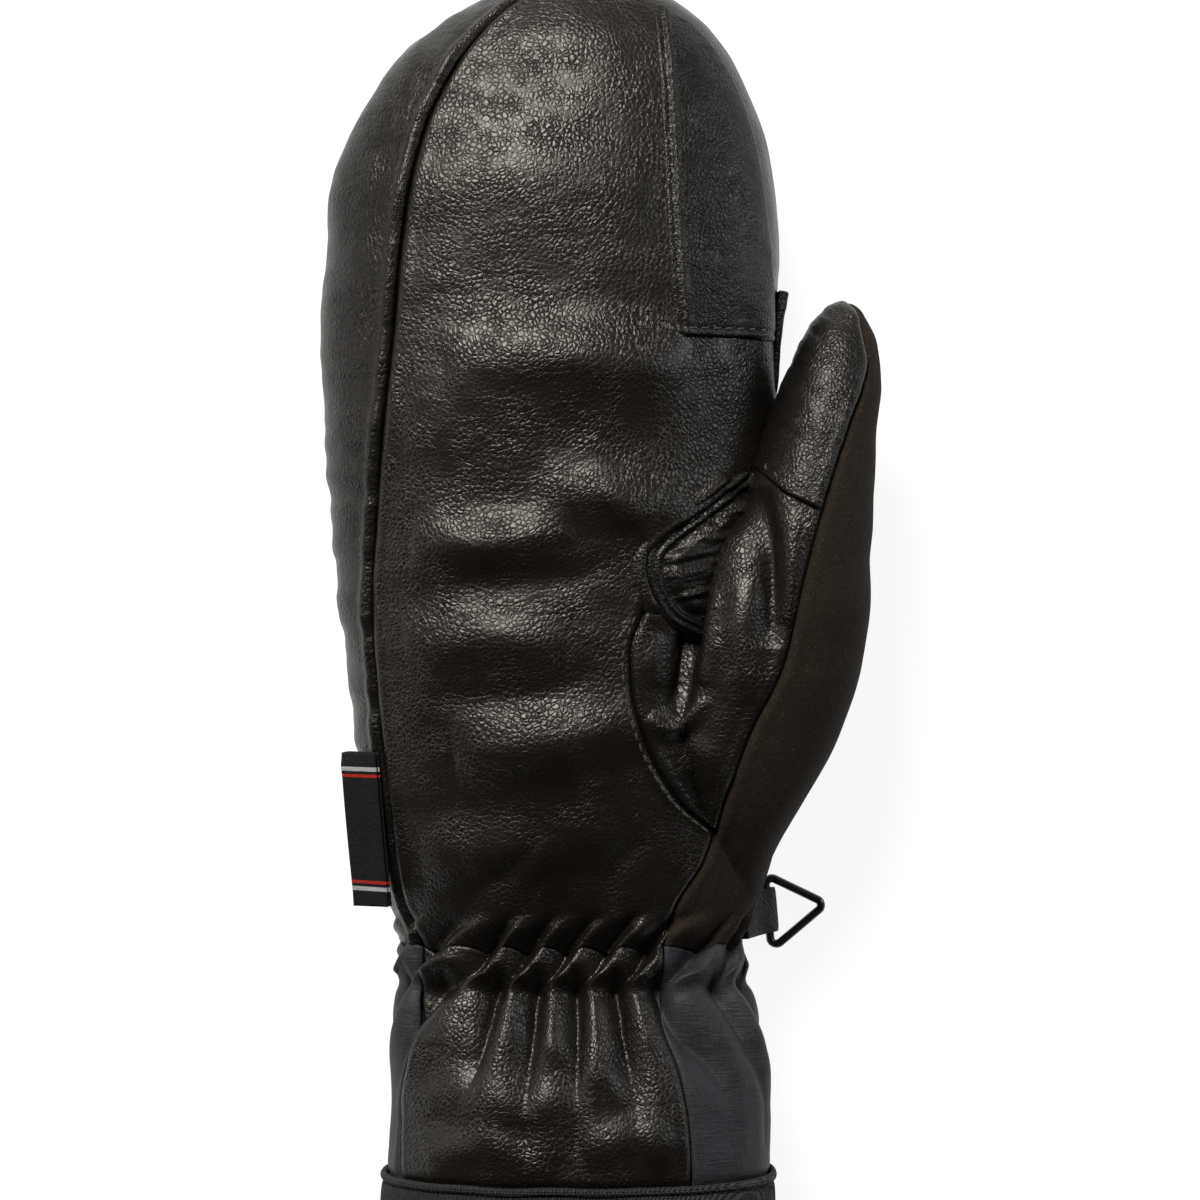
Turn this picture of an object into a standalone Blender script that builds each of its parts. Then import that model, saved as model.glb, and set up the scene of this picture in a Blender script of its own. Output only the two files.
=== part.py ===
"""A ski mitten for the right hand, lying on its back with the palm up.

X runs across the hand towards the thumb, Y from the cuff to the fingertips and Z from the
back of the hand to the palm. The origin is on the table, under the middle of the mitten.
Lengths are in metres.

The mitten is a stack of layers round one hollow: an outer shell sewn from panels, pads of
batting, a waterproof insert and a fleece lining. Each layer is the space between two
volumes of one family: the mitten's outside, shrunk to a depth. Panels are cut from a
layer with prisms whose sides follow the seams.
"""

import math

import bmesh
import bpy
from mathutils import Matrix, Vector

# Depths of the layers below the outer surface. Overlays lie above it, at negative depths.
GAP = 0.0003
SHELL = (0.0, 0.0010)
OVERLAY = (-0.0012, -GAP)
ELASTIC = (0.0013, 0.0021)
CUFF_LINING = (0.0024, 0.0036)
BATTING = (0.0013, 0.0048)
INSERT = (0.0051, 0.0056)
LINING = (0.0059, 0.0073)
HEM_BAND = (-0.0005, 0.0042)

# Stations along the mitten.
TIP_Y = 0.152
HEM_Y = -0.152
HEM_SEAM_Y = -0.138
WRIST_SEAM_Y = -0.083
LOWER_ELASTIC_Y = -0.0925
BATTING_END_Y = -0.073
LINING_END_Y = -0.0795
ELASTIC_WIDTH = 0.006
WELD = 0.000003

# How far the prisms that cut the layers reach past the mitten: up, down, sideways, past the tips.
HIGH = 0.09
LOW = -0.02
FAR = 0.12
PAST_FINGERS = 0.17
PAST_THUMB = 0.080

# Seam heights on the sides: palm side to back, and the lower edge of the outer side panel.
SIDE_SEAM_Z = 0.026
OUTER_SEAM_Z = 0.012
THUMB_SEAM_Z = SIDE_SEAM_Z + 0.002

# Flex lines, where the mitten bends. The pivots lie near the palm side, where it creases.
KNUCKLE_Y = 0.036
KNUCKLE_Z = 0.048
CURL_LIMIT = math.radians(60)
THUMB_PIVOT = Vector((0.040, -0.016, 0.054))
THUMB_LINE = Vector((0.22, 0.975, 0.0)).normalized()
THUMB_LIMIT = math.radians(40)
WRIST_PIVOT = Vector((-0.007, -0.088, 0.0245))

# Cross sections: y, left edge, right edge, underside, top.
HAND_SECTIONS = (
    (-0.172, -0.0525, 0.0415, 0.0006, 0.0570),
    (-0.152, -0.0525, 0.0415, 0.0006, 0.0570),
    (-0.138, -0.0515, 0.0412, 0.0006, 0.0565),
    (-0.120, -0.0500, 0.0408, 0.0000, 0.0550),
    (-0.105, -0.0503, 0.0388, 0.0008, 0.0515),
    (-0.0925, -0.0485, 0.0352, 0.0025, 0.0465),
    (-0.083, -0.0485, 0.0345, 0.0025, 0.0460),
    (-0.067, -0.0522, 0.0392, 0.0005, 0.0500),
    (-0.045, -0.0568, 0.0402, 0.0000, 0.0545),
    (-0.015, -0.0612, 0.0402, 0.0000, 0.0570),
    (0.020, -0.0642, 0.0412, 0.0000, 0.0575),
    (0.060, -0.0668, 0.0425, 0.0000, 0.0565),
    (0.090, -0.0655, 0.0420, 0.0005, 0.0540),
    (0.110, -0.0600, 0.0392, 0.0015, 0.0510),
    (0.126, -0.0508, 0.0338, 0.0035, 0.0475),
    (0.137, -0.0412, 0.0272, 0.0065, 0.0435),
    (0.145, -0.0295, 0.0175, 0.0100, 0.0390),
    (0.150, -0.0175, 0.0065, 0.0145, 0.0340),
    (TIP_Y, -0.0085, -0.0025, 0.0200, 0.0280),
)
THUMB_SECTIONS = (
    (-0.072, 0.0290, 0.0350, 0.0150, 0.0320),
    (-0.062, 0.0245, 0.0410, 0.0080, 0.0420),
    (-0.048, 0.0170, 0.0490, 0.0050, 0.0520),
    (-0.032, 0.0130, 0.0575, 0.0045, 0.0575),
    (-0.016, 0.0165, 0.0625, 0.0060, 0.0605),
    (0.000, 0.0235, 0.0645, 0.0090, 0.0620),
    (0.020, 0.0320, 0.0648, 0.0130, 0.0610),
    (0.038, 0.0390, 0.0655, 0.0170, 0.0580),
    (0.050, 0.0432, 0.0667, 0.0205, 0.0545),
    (0.060, 0.0472, 0.0660, 0.0245, 0.0505),
    (0.066, 0.0508, 0.0636, 0.0285, 0.0465),
    (0.0705, 0.0575, 0.0605, 0.0350, 0.0400),
)
HAND_HALF = (0.053, 0.0285)
THUMB_HALF = (0.0185, 0.0215)
SQUARENESS = 2.3

# Seams seen from above, from the fingertips towards the cuff.
OUTER_SEAM = (
    (-0.002, 0.156), (-0.018, 0.1435), (-0.028, 0.1346), (-0.0407, 0.1117), (-0.0458, 0.090),
    (-0.0485, 0.065), (-0.0515, 0.035), (-0.0540, 0.002), (-0.0532, -0.020), (-0.0505, -0.045),
    (-0.0470, -0.070), (-0.0430, -0.0835),
)
GUSSET_SEAM = (
    (0.0128, 0.0030), (0.0098, -0.0045), (0.0070, -0.0120), (0.0074, -0.0220), (0.0098, -0.0312),
    (0.0135, -0.0396), (0.0192, -0.0480), (0.0272, -0.0547),
)
THUMB_SEAM = (
    (0.0590, 0.080), (0.0606, 0.068), (0.0626, 0.0562), (0.0580, 0.040), (0.0528, 0.0247),
    (0.0470, 0.0038), (0.0430, -0.0144), (0.0352, -0.031), (0.0295, -0.0466), (0.0278, -0.0533),
    (0.0242, -0.0622), (0.0180, -0.0722), (0.0150, -0.0835),
)
FORK_Y = -0.0547
CROTCH_EDGE = (
    (0.0200, -0.0080), (0.0125, -0.0015), (0.0100, 0.0070), (0.0125, 0.0150), (0.0200, 0.0205),
    (0.0265, 0.0262), (0.0335, 0.0315),
)
CROTCH_START = 4
CROTCH_INNER_EDGE = ((0.0345, 0.0270), (0.0300, 0.0170), (0.0265, 0.0070), (0.0235, -0.0020))
THUMB_CREASE = ((0.0380, 0.0375), (0.0430, 0.0455), (0.0450, 0.0600), (0.0480, 0.0800))
INDEX_PATCH = (
    (0.0120, 0.1465), (0.0144, 0.1243), (0.0160, 0.0980), (0.0170, 0.0754), (0.0185, 0.0627),
    (0.0462, 0.0645), (0.0462, 0.1200), (0.0340, 0.1465),
)
THUMB_PATCH_EDGE = ((0.0330, 0.0345), (0.0425, 0.0248), (0.0500, 0.0212))
CUFF_LEFT_SEAM = ((-0.0430, -0.0830), (-0.0450, -0.0960), (-0.0475, -0.1100), (-0.0478, -0.1385))
CUFF_RIGHT_SEAM = ((0.0150, -0.0830), (0.0150, -0.0960), (0.0190, -0.1120), (0.0227, -0.1385))

# The clip ring, its leather loop and the label.
RING_WIRE = 0.00105
RING_CORNERS = (Vector((0.0410, -0.0682)), Vector((0.0426, -0.0870)), Vector((0.0562, -0.0755)))
RING_CORNER_RADIUS = 0.0015
RING_Z = RING_WIRE
LOOP_WIDTH = 0.0112
LOOP_LEATHER = 0.0011
LOOP_ROOT = Vector((0.0356, -0.0775, 0.0135))
LABEL_TOP = Vector((-0.0530, -0.0360, 0.0440))
LABEL_BOTTOM = Vector((-0.0500, -0.0725, 0.0415))
LABEL_WIDTH = 0.0105
LABEL_CLOTH = 0.0006
LABEL_DROOP = math.radians(38)

LEATHER = ("leather", (0.020, 0.018, 0.016), 0.42)
PATCH_LEATHER = ("patch_leather", (0.022, 0.022, 0.022), 0.38)
SOFTSHELL = ("softshell", (0.022, 0.018, 0.014), 0.85)
NYLON = ("cuff_nylon", (0.030, 0.033, 0.040), 0.75)
BINDING = ("binding", (0.022, 0.023, 0.026), 0.85)
BATTING_FILL = ("batting", (0.80, 0.80, 0.78), 0.95)
MEMBRANE = ("membrane", (0.75, 0.77, 0.80), 0.45)
FLEECE = ("fleece", (0.055, 0.055, 0.060), 0.95)
ELASTIC_TAPE = ("elastic", (0.60, 0.60, 0.58), 0.80)
WOVEN_LABEL = ("label", (0.012, 0.012, 0.013), 0.80)
RING_METAL = ("ring_metal", (0.030, 0.032, 0.035), 0.35)

for leftover in list(bpy.data.objects):
    bpy.data.objects.remove(leftover)
PARTS = bpy.data.collections.new("ski_mitten")
CUTTERS = bpy.data.collections.new("cutters")
bpy.context.scene.collection.children.link(PARTS)
bpy.context.scene.collection.children.link(CUTTERS)


def material(finish):
    """The Principled material of a finish, made once."""
    name, colour, roughness = finish
    made = bpy.data.materials.get(name)
    if made is None:
        made = bpy.data.materials.new(name)
        made.use_nodes = True
        shader = made.node_tree.nodes["Principled BSDF"]
        shader.inputs["Base Color"].default_value = (*colour, 1.0)
        shader.inputs["Roughness"].default_value = roughness
        shader.inputs["Metallic"].default_value = 1.0 if finish is RING_METAL else 0.0
    return made


def as_cutter(obj):
    """A helper object, which isn't part of the mitten."""
    CUTTERS.objects.link(obj)
    obj.hide_render = True
    obj.display_type = "WIRE"
    return obj


def as_part(obj, finish):
    """Puts an object among the mitten's pieces, in one finish."""
    PARTS.objects.link(obj)
    obj.data.materials.clear()
    obj.data.materials.append(material(finish))
    return obj


def smooth_line(points, steps=2):
    """Points along a smooth curve through the given points (Catmull-Rom)."""
    points = [Vector(p) for p in points]
    ends = [2 * points[0] - points[1], *points, 2 * points[-1] - points[-2]]
    line = []
    for before, start, end, after in zip(ends, ends[1:], ends[2:], ends[3:]):
        for step in range(steps):
            t = step / steps
            line.append(
                0.5 * (2 * start + (end - before) * t
                       + (2 * before - 5 * start + 4 * end - after) * t * t
                       + (3 * start - before - 3 * end + after) * t ** 3)
            )
    return [*line, points[-1]]


def shifted(points, distance):
    """A line moved sideways towards the thumb by a distance, measured square to the line."""
    points = [Vector(p[:2]) for p in points]
    side = distance if points[-1].y < points[0].y else -distance
    moved = []
    for n, point in enumerate(points):
        run = (points[min(n + 1, len(points) - 1)] - points[max(n - 1, 0)]).normalized()
        moved.append(point + Vector((-run.y, run.x)) * side)
    return moved


def section_point(section, angle, depth, half):
    """A point of a section's rounded outline, drawn in to a depth."""
    y, left, right, low, high = section
    shrink_x = 1 - depth / half[0]
    shrink_z = 1 - depth / half[1]
    across, up = math.cos(angle), math.sin(angle)
    power = 2 / SQUARENESS
    return Vector((
        (left + right) / 2 + (right - left) / 2 * shrink_x * math.copysign(abs(across) ** power, across),
        y,
        (low + high) / 2 + (high - low) / 2 * shrink_z * math.copysign(abs(up) ** power, up),
    ))


def loft(name, sections, depth, half, around):
    """A closed volume through a list of sections, drawn in to a depth at its sides and its tip."""
    mesh = bmesh.new()
    base, tip = sections[0][0], sections[-1][0]
    stretch = (tip - depth - base) / (tip - base)
    rings = []
    for section in sections:
        moved = (base + (section[0] - base) * stretch, *section[1:])
        angles = [2 * math.pi * step / around for step in range(around)]
        rings.append([mesh.verts.new(section_point(moved, a, depth, half)) for a in angles])
    for low, high in zip(rings, rings[1:]):
        for step in range(around):
            after = (step + 1) % around
            mesh.faces.new((low[step], high[step], high[after], low[after]))
    mesh.faces.new(rings[0])
    mesh.faces.new(reversed(rings[-1]))
    bmesh.ops.triangulate(mesh, faces=mesh.faces)
    bmesh.ops.recalc_face_normals(mesh, faces=mesh.faces)
    return from_bmesh(name, mesh)


def from_bmesh(name, mesh):
    data = bpy.data.meshes.new(name)
    mesh.to_mesh(data)
    mesh.free()
    return bpy.data.objects.new(name, data)


def boolean(obj, operation, *others):
    """Adds a Boolean modifier to obj for each other object."""
    for other in others:
        modifier = obj.modifiers.new(f"{operation.lower()}_{other.name}", "BOOLEAN")
        modifier.operation = operation
        modifier.object = other
        modifier.solver = "EXACT"
    return obj


def tidy(data):
    """Welds the points of a mesh that lie within a few microns of each other."""
    mesh = bmesh.new()
    mesh.from_mesh(data)
    bmesh.ops.triangulate(mesh, faces=mesh.faces)
    bmesh.ops.remove_doubles(mesh, verts=mesh.verts, dist=WELD)
    bmesh.ops.dissolve_degenerate(mesh, edges=mesh.edges, dist=WELD)
    bmesh.ops.recalc_face_normals(mesh, faces=mesh.faces)
    mesh.to_mesh(data)
    mesh.free()


def baked(obj):
    """The evaluated mesh of obj as a new object, with no modifiers."""
    bpy.context.view_layer.update()
    graph = bpy.context.evaluated_depsgraph_get()
    mesh = bpy.data.meshes.new_from_object(obj.evaluated_get(graph))
    tidy(mesh)
    name, place = obj.name, obj.matrix_world.copy()
    bpy.data.objects.remove(obj)
    made = bpy.data.objects.new(name, mesh)
    made.matrix_world = place
    return made


def mitten_volume(name, depth, around):
    """The mitten's outside shrunk to a depth: the hand's volume joined to the thumb's."""
    overrun = 0.002 * (depth > 0)
    sections = [(HAND_SECTIONS[0][0] - overrun, *HAND_SECTIONS[0][1:]), *HAND_SECTIONS[1:]]
    volume = as_cutter(loft(name, sections, depth, HAND_HALF, around))
    thumb = as_cutter(loft(name + "_thumb", THUMB_SECTIONS, depth, THUMB_HALF, around - 6))
    boolean(volume, "UNION", thumb)
    joined = as_cutter(baked(volume))
    bpy.data.objects.remove(thumb)
    return joined


def layer(name, depths, around=20):
    """The space between two depths of the mitten, open at the cuff."""
    outside = mitten_volume(name, depths[0], around)
    inside = mitten_volume(name + "_inside", depths[1], around)
    boolean(outside, "DIFFERENCE", inside)
    shell = as_cutter(baked(outside))
    bpy.data.objects.remove(inside)
    return shell


def prism(name, outline, low, high, along="Z"):
    """A flat outline pushed along an axis, between low and high. Along X it is drawn in Y and Z."""
    curve = bpy.data.curves.new(name, "CURVE")
    curve.dimensions = "2D"
    curve.fill_mode = "BOTH"
    curve.extrude = (high - low) / 2
    spline = curve.splines.new("POLY")
    spline.points.add(len(outline) - 1)
    for point, place in zip(spline.points, outline):
        point.co = (place[0], place[1], 0, 1)
    spline.use_cyclic_u = True
    obj = bpy.data.objects.new(name, curve)
    middle = Matrix.Translation((0, 0, (low + high) / 2))
    turned = Matrix(((0, 0, 1, 0), (1, 0, 0, 0), (0, 1, 0, 0), (0, 0, 0, 1)))
    obj.matrix_world = turned @ middle if along == "X" else middle
    return as_cutter(solid_from_curve(obj))


def solid_from_curve(obj):
    """A curve object made into a mesh, with its caps welded on."""
    CUTTERS.objects.link(obj)
    return baked(obj)


def slab(name, y_low, y_high, z_low=LOW, z_high=HIGH):
    """A block across the whole mitten, between two stations."""
    corners = ((-FAR, y_low), (FAR, y_low), (FAR, y_high), (-FAR, y_high))
    return prism(name, corners, z_low, z_high)


def panel(name, shell, finish, keep=(), cut=()):
    """A node cut from a layer: what is inside every prism in keep and outside those in cut."""
    obj = as_cutter(bpy.data.objects.new(name, shell.data.copy()))
    boolean(obj, "INTERSECT", *keep)
    boolean(obj, "DIFFERENCE", *cut)
    cut_out = baked(obj)
    keep_largest(cut_out.data)
    return as_part(cut_out, finish)


def keep_largest(data):
    """Drops the slivers a cut leaves beside a mesh's one real piece."""
    mesh = bmesh.new()
    mesh.from_mesh(data)
    pieces = []
    left = set(mesh.verts)
    while left:
        piece, edge = set(), {left.pop()}
        while edge:
            piece |= edge
            edge = {e.other_vert(v) for v in edge for e in v.link_edges} - piece
        left -= piece
        pieces.append(piece)
    pieces.sort(key=len)
    strays = [v for piece in pieces[:-1] for v in piece]
    bmesh.ops.delete(mesh, geom=strays, context="VERTS")
    mesh.to_mesh(data)
    mesh.free()


def top_of(sections, x, y):
    """The height of a volume's upper surface over a point, or None beside it."""
    for low, high in zip(sections, sections[1:]):
        if low[0] <= y <= high[0]:
            share = (y - low[0]) / (high[0] - low[0])
            left, right, under, over = (a + (b - a) * share for a, b in zip(low[1:], high[1:]))
            aside = abs(x - (left + right) / 2) / ((right - left) / 2)
            if aside < 1:
                rise = (1 - aside ** SQUARENESS) ** (1 / SQUARENESS)
                return (under + over) / 2 + (over - under) / 2 * rise
    return None


def surface_height(x, y):
    found = [top_of(HAND_SECTIONS, x, y), top_of(THUMB_SECTIONS, x, y)]
    return max(z for z in found if z is not None)


def tube(name, points, radius, finish, closed=False):
    """A round cord along a line of points."""
    curve = bpy.data.curves.new(name, "CURVE")
    curve.dimensions = "3D"
    curve.bevel_depth = radius
    curve.bevel_resolution = 1
    curve.use_fill_caps = not closed
    spline = curve.splines.new("POLY")
    spline.points.add(len(points) - 1)
    for point, place in zip(spline.points, points):
        point.co = (*place, 1)
    spline.use_cyclic_u = closed
    return as_part(solid_from_curve(bpy.data.objects.new(name, curve)), finish)


# The seam lines, and the prisms that separate the panels.
outer_seam = smooth_line(OUTER_SEAM)
gusset_seam = smooth_line(GUSSET_SEAM)
thumb_seam = smooth_line(THUMB_SEAM)
palm_heel_seam = [p for p in thumb_seam if p.y <= FORK_Y]
thumb_front_seam = [p for p in thumb_seam if p.y > FORK_Y]
crotch_edge = smooth_line(CROTCH_EDGE)
crotch_outline = [*crotch_edge, *(Vector(p) for p in CROTCH_INNER_EDGE)]
crease = [Vector(p) for p in THUMB_CREASE]


def grown(outline, distance):
    """An outline moved away from its middle by about a distance."""
    middle = sum(outline, Vector((0, 0))) / len(outline)
    return [p + (p - middle).normalized() * distance for p in outline]


def build_shell_panels():
    shell = layer("shell", SHELL)
    hand_length = slab("hand_length", WRIST_SEAM_Y + GAP, PAST_FINGERS)
    left_of_seam = [*shifted(outer_seam, -GAP), Vector((-FAR, WRIST_SEAM_Y)), Vector((-FAR, PAST_FINGERS))]
    outer_region = prism("outer_region", left_of_seam, OUTER_SEAM_Z + GAP, HIGH)
    outer_clear = prism(
        "outer_clear", [*shifted(left_of_seam[:-2], 2 * GAP), *left_of_seam[-2:]], OUTER_SEAM_Z - GAP, HIGH
    )
    crotch = prism("crotch", crotch_outline, SIDE_SEAM_Z, HIGH)
    crotch_clear = prism("crotch_clear", grown(crotch_outline, GAP), SIDE_SEAM_Z, HIGH)

    palm_outline = [
        *shifted(outer_seam, GAP),
        *reversed(shifted(palm_heel_seam, -GAP)),
        *reversed(shifted(gusset_seam, -GAP)),
        *shifted(crotch_edge[CROTCH_START:], -GAP),
        *shifted(crease, -GAP),
        Vector((FAR, PAST_THUMB)),
        Vector((FAR, PAST_FINGERS)),
    ]
    panel("palm_panel", shell, LEATHER,
          keep=[hand_length, prism("palm_region", palm_outline, SIDE_SEAM_Z + GAP, HIGH)],
          cut=[crotch_clear])
    panel("outer_side_panel", shell, LEATHER, keep=[hand_length, outer_region])

    gusset_outline = [
        *reversed(shifted(gusset_seam, GAP)),
        *shifted(crotch_edge[CROTCH_START:], GAP),
        *shifted(crease, GAP),
        *shifted(thumb_front_seam, -GAP),
    ]
    panel("thumb_palm_panel", shell, LEATHER,
          keep=[prism("gusset_region", gusset_outline, THUMB_SEAM_Z + GAP, HIGH)], cut=[crotch_clear])
    panel("thumb_crotch_patch", shell, PATCH_LEATHER, keep=[crotch])

    right_of_seam = [*shifted(thumb_seam, GAP), Vector((FAR, WRIST_SEAM_Y)), Vector((FAR, PAST_THUMB))]
    thumb_top = prism("thumb_top", right_of_seam, SIDE_SEAM_Z + GAP, HIGH)
    thumb_under = prism("thumb_under", under_thumb_outline(0), LOW, SIDE_SEAM_Z - GAP)
    thumb_side = prism("thumb_side", thumb_side_outline(), SIDE_SEAM_Z - 0.004, THUMB_SEAM_Z - GAP)
    thumb_under_clear = prism("thumb_under_clear", under_thumb_outline(-2 * GAP), LOW, HIGH)
    thumb_back_region = as_cutter(baked(boolean(thumb_top, "UNION", thumb_side, thumb_under)))
    panel("thumb_back_panel", shell, SOFTSHELL, keep=[hand_length, thumb_back_region])
    panel("back_panel", shell, SOFTSHELL,
          keep=[slab("back_region", WRIST_SEAM_Y + GAP, PAST_FINGERS, LOW, SIDE_SEAM_Z - GAP)],
          cut=[outer_clear, thumb_under_clear])
    build_cuff_panels(shell)


def under_thumb_outline(dx):
    """Below the side seam, the thumb's cloth starts where the thumb leaves the hand."""
    edge = [
        (0.0412, -0.062), (0.0400, -0.030), (0.0400, 0.020), (0.0414, 0.046),
        (0.0440, 0.060), (0.0440, PAST_THUMB),
    ]
    return [*shifted(edge, dx), Vector((FAR, PAST_THUMB)), Vector((FAR, -0.062))]


def thumb_side_outline():
    """Where the thumb's cloth climbs to its own seam, clear of the palm's leather."""
    edge = [(0.0420, -0.061), (0.0408, -0.030), (0.0408, 0.030), (0.0446, 0.0345), (0.0446, PAST_THUMB)]
    return [*map(Vector, edge), Vector((FAR, PAST_THUMB)), Vector((FAR, -0.061))]


def build_cuff_panels(shell):
    """The gauntlet below the wrist seam: leather in front, nylon round the sides and the back."""
    length = slab("cuff_length", HEM_SEAM_Y + 0.0016, WRIST_SEAM_Y - GAP)
    left, right = smooth_line(CUFF_LEFT_SEAM), smooth_line(CUFF_RIGHT_SEAM)
    front = prism("cuff_front", [*shifted(left, GAP), *reversed(shifted(right, -GAP))], SIDE_SEAM_Z, HIGH)
    left_end, right_end = Vector((-FAR, HEM_Y)), Vector((FAR, HEM_Y))
    outer = prism(
        "cuff_outer", [*shifted(left, -GAP), left_end, Vector((-FAR, WRIST_SEAM_Y))], OUTER_SEAM_Z + GAP, HIGH
    )
    inner = prism(
        "cuff_inner", [*shifted(right, GAP), right_end, Vector((FAR, WRIST_SEAM_Y))], OUTER_SEAM_Z + GAP, HIGH
    )
    panel("cuff_palm_panel", shell, LEATHER, keep=[length, front])
    panel("cuff_outer_side_panel", shell, NYLON, keep=[length, outer])
    panel("cuff_thumb_side_panel", shell, NYLON, keep=[length, inner])
    panel("cuff_back_panel", shell, NYLON,
          keep=[length, slab("cuff_under", HEM_Y, WRIST_SEAM_Y, LOW, OUTER_SEAM_Z - GAP)])


def build_overlays():
    """Leather patches sewn on top of the shell."""
    overlay = layer("overlay", OVERLAY)
    index_region = prism("index_region", [Vector(p) for p in INDEX_PATCH], SIDE_SEAM_Z + 0.003, HIGH)
    panel("index_patch", overlay, PATCH_LEATHER, keep=[index_region])
    lower = [Vector(p) for p in THUMB_PATCH_EDGE]
    upper = [p for p in thumb_front_seam if p.y > 0.021]
    outline = [*reversed(shifted(crease, 2 * GAP)), *lower, *reversed(shifted(upper, -0.0008))]
    panel("thumb_tip_patch", overlay, PATCH_LEATHER,
          keep=[prism("thumb_tip_region", outline, THUMB_SEAM_Z + 0.004, HIGH)])


def build_padding():
    """Batting in five pads: palm, back, both sides of the finger pocket, and the thumb."""
    batting = layer("batting", BATTING)
    flex = math.tan(CURL_LIMIT / 2) * (HIGH - KNUCKLE_Z)
    palm_low, back_high = SIDE_SEAM_Z + GAP, SIDE_SEAM_Z - GAP
    end, low_side, high_side = BATTING_END_Y, KNUCKLE_Y - GAP, KNUCKLE_Y + GAP
    hand_palm = [
        (end, palm_low), (low_side, palm_low), (low_side, KNUCKLE_Z), (low_side - flex, HIGH), (end, HIGH),
    ]
    finger_palm = [
        (PAST_FINGERS, palm_low), (high_side, palm_low), (high_side, KNUCKLE_Z), (high_side + flex, HIGH),
        (PAST_FINGERS, HIGH),
    ]
    hand_back = [(end, LOW), (low_side, LOW), (low_side, back_high), (end, back_high)]
    finger_back = [(high_side, LOW), (PAST_FINGERS, LOW), (PAST_FINGERS, back_high), (high_side, back_high)]

    thumb_clear = as_cutter(loft("thumb_clear", THUMB_SECTIONS, BATTING[0] - 0.0010, THUMB_HALF, 14))
    boolean(thumb_clear, "INTERSECT", beyond_thumb_crease("thumb_sweep", -0.001))
    thumb_clear = as_cutter(baked(thumb_clear))
    for name, outline in (
        ("palm_batting", hand_palm), ("back_batting", hand_back),
        ("finger_palm_batting", finger_palm), ("finger_back_batting", finger_back),
    ):
        block = prism(name + "_block", outline, -FAR, FAR, along="X")
        panel(name, batting, BATTING_FILL, keep=[block], cut=[thumb_clear])

    stall = as_cutter(loft("thumb_stall", THUMB_SECTIONS, BATTING[0], THUMB_HALF, 14))
    stall_inside = as_cutter(loft("thumb_stall_inside", THUMB_SECTIONS, BATTING[1], THUMB_HALF, 14))
    hand_clear = as_cutter(loft("hand_clear", HAND_SECTIONS, BATTING[0] - 0.0010, HAND_HALF, 20))
    panel("thumb_batting", stall, BATTING_FILL,
          keep=[beyond_thumb_crease("thumb_part", 0)], cut=[stall_inside, hand_clear])


def beyond_thumb_crease(name, back_off):
    """What swings with the thumb: everything past its pivot, with a wedge taken out above the pivot."""
    rise = HIGH - THUMB_PIVOT.z
    start = back_off
    opening = start + rise * math.tan(THUMB_LIMIT) * (back_off == 0)
    outline = [(start, LOW), (start, THUMB_PIVOT.z), (opening, HIGH), (0.15, HIGH), (0.15, LOW)]
    block = prism(name, outline, -0.03, 0.06, along="X")
    turn = Matrix.Rotation(-math.atan2(THUMB_LINE.x, THUMB_LINE.y), 4, "Z")
    block.matrix_world = Matrix.Translation((THUMB_PIVOT.x, THUMB_PIVOT.y, 0)) @ turn @ block.matrix_world
    return block


def build_inner_layers():
    """The waterproof insert, the fleece lining, the cuff's lining and the wrist's elastic tapes."""
    insert_length = slab("insert_length", BATTING_END_Y, PAST_FINGERS)
    panel("waterproof_insert", layer("insert", INSERT), MEMBRANE, keep=[insert_length])
    lining_length = slab("lining_length", LINING_END_Y, PAST_FINGERS)
    panel("fleece_lining", layer("lining", LINING), FLEECE, keep=[lining_length])
    cuff_lining = layer("cuff_lining_layer", CUFF_LINING)
    panel("cuff_lining", cuff_lining, FLEECE,
          keep=[slab("cuff_lining_length", HEM_SEAM_Y + 0.0006, LINING_END_Y - GAP)])
    elastic = layer("elastic_layer", ELASTIC)
    for name, y in (("upper_wrist_elastic", WRIST_SEAM_Y), ("lower_wrist_elastic", LOWER_ELASTIC_Y)):
        width = slab(name + "_width", y - ELASTIC_WIDTH / 2, y + ELASTIC_WIDTH / 2)
        panel(name, elastic, ELASTIC_TAPE, keep=[width])


def build_hem():
    """The hem band that closes the cuff's edge, and the ribbed piping along its top."""
    band = layer("hem_layer", HEM_BAND)
    panel("hem_band", band, BINDING, keep=[slab("hem_length", HEM_Y, HEM_SEAM_Y)])
    piping = 0.0008
    section = (HEM_SEAM_Y + GAP + piping - 0.0003, *HAND_SECTIONS[2][1:])
    ring = [section_point(section, 2 * math.pi * step / 40, -0.0001, HAND_HALF) for step in range(40)]
    tube("hem_piping", ring, piping * 0.75, BINDING, closed=True)


def build_crotch_piping():
    radius = 0.0007
    line = [Vector((*p, surface_height(*p) + radius + 2 * GAP)) for p in smooth_line(CROTCH_EDGE)]
    tube("thumb_crotch_piping", line, radius, PATCH_LEATHER)


def build_side_welt():
    """The bound end of the index side seam, a small leather fin beside the hand."""
    outline = [Vector(p) for p in (
        (0.0430, 0.0740), (0.0442, 0.0744), (0.0450, 0.0728), (0.0443, 0.0660), (0.0440, 0.0560),
        (0.0432, 0.0470), (0.0428, 0.0470), (0.0428, 0.0560), (0.0430, 0.0660),
    )]
    welt = prism("index_side_welt_shape", outline, 0.0222, 0.0286)
    made = as_part(bpy.data.objects.new("index_side_welt", welt.data.copy()), PATCH_LEATHER)
    made.matrix_world = welt.matrix_world


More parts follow.
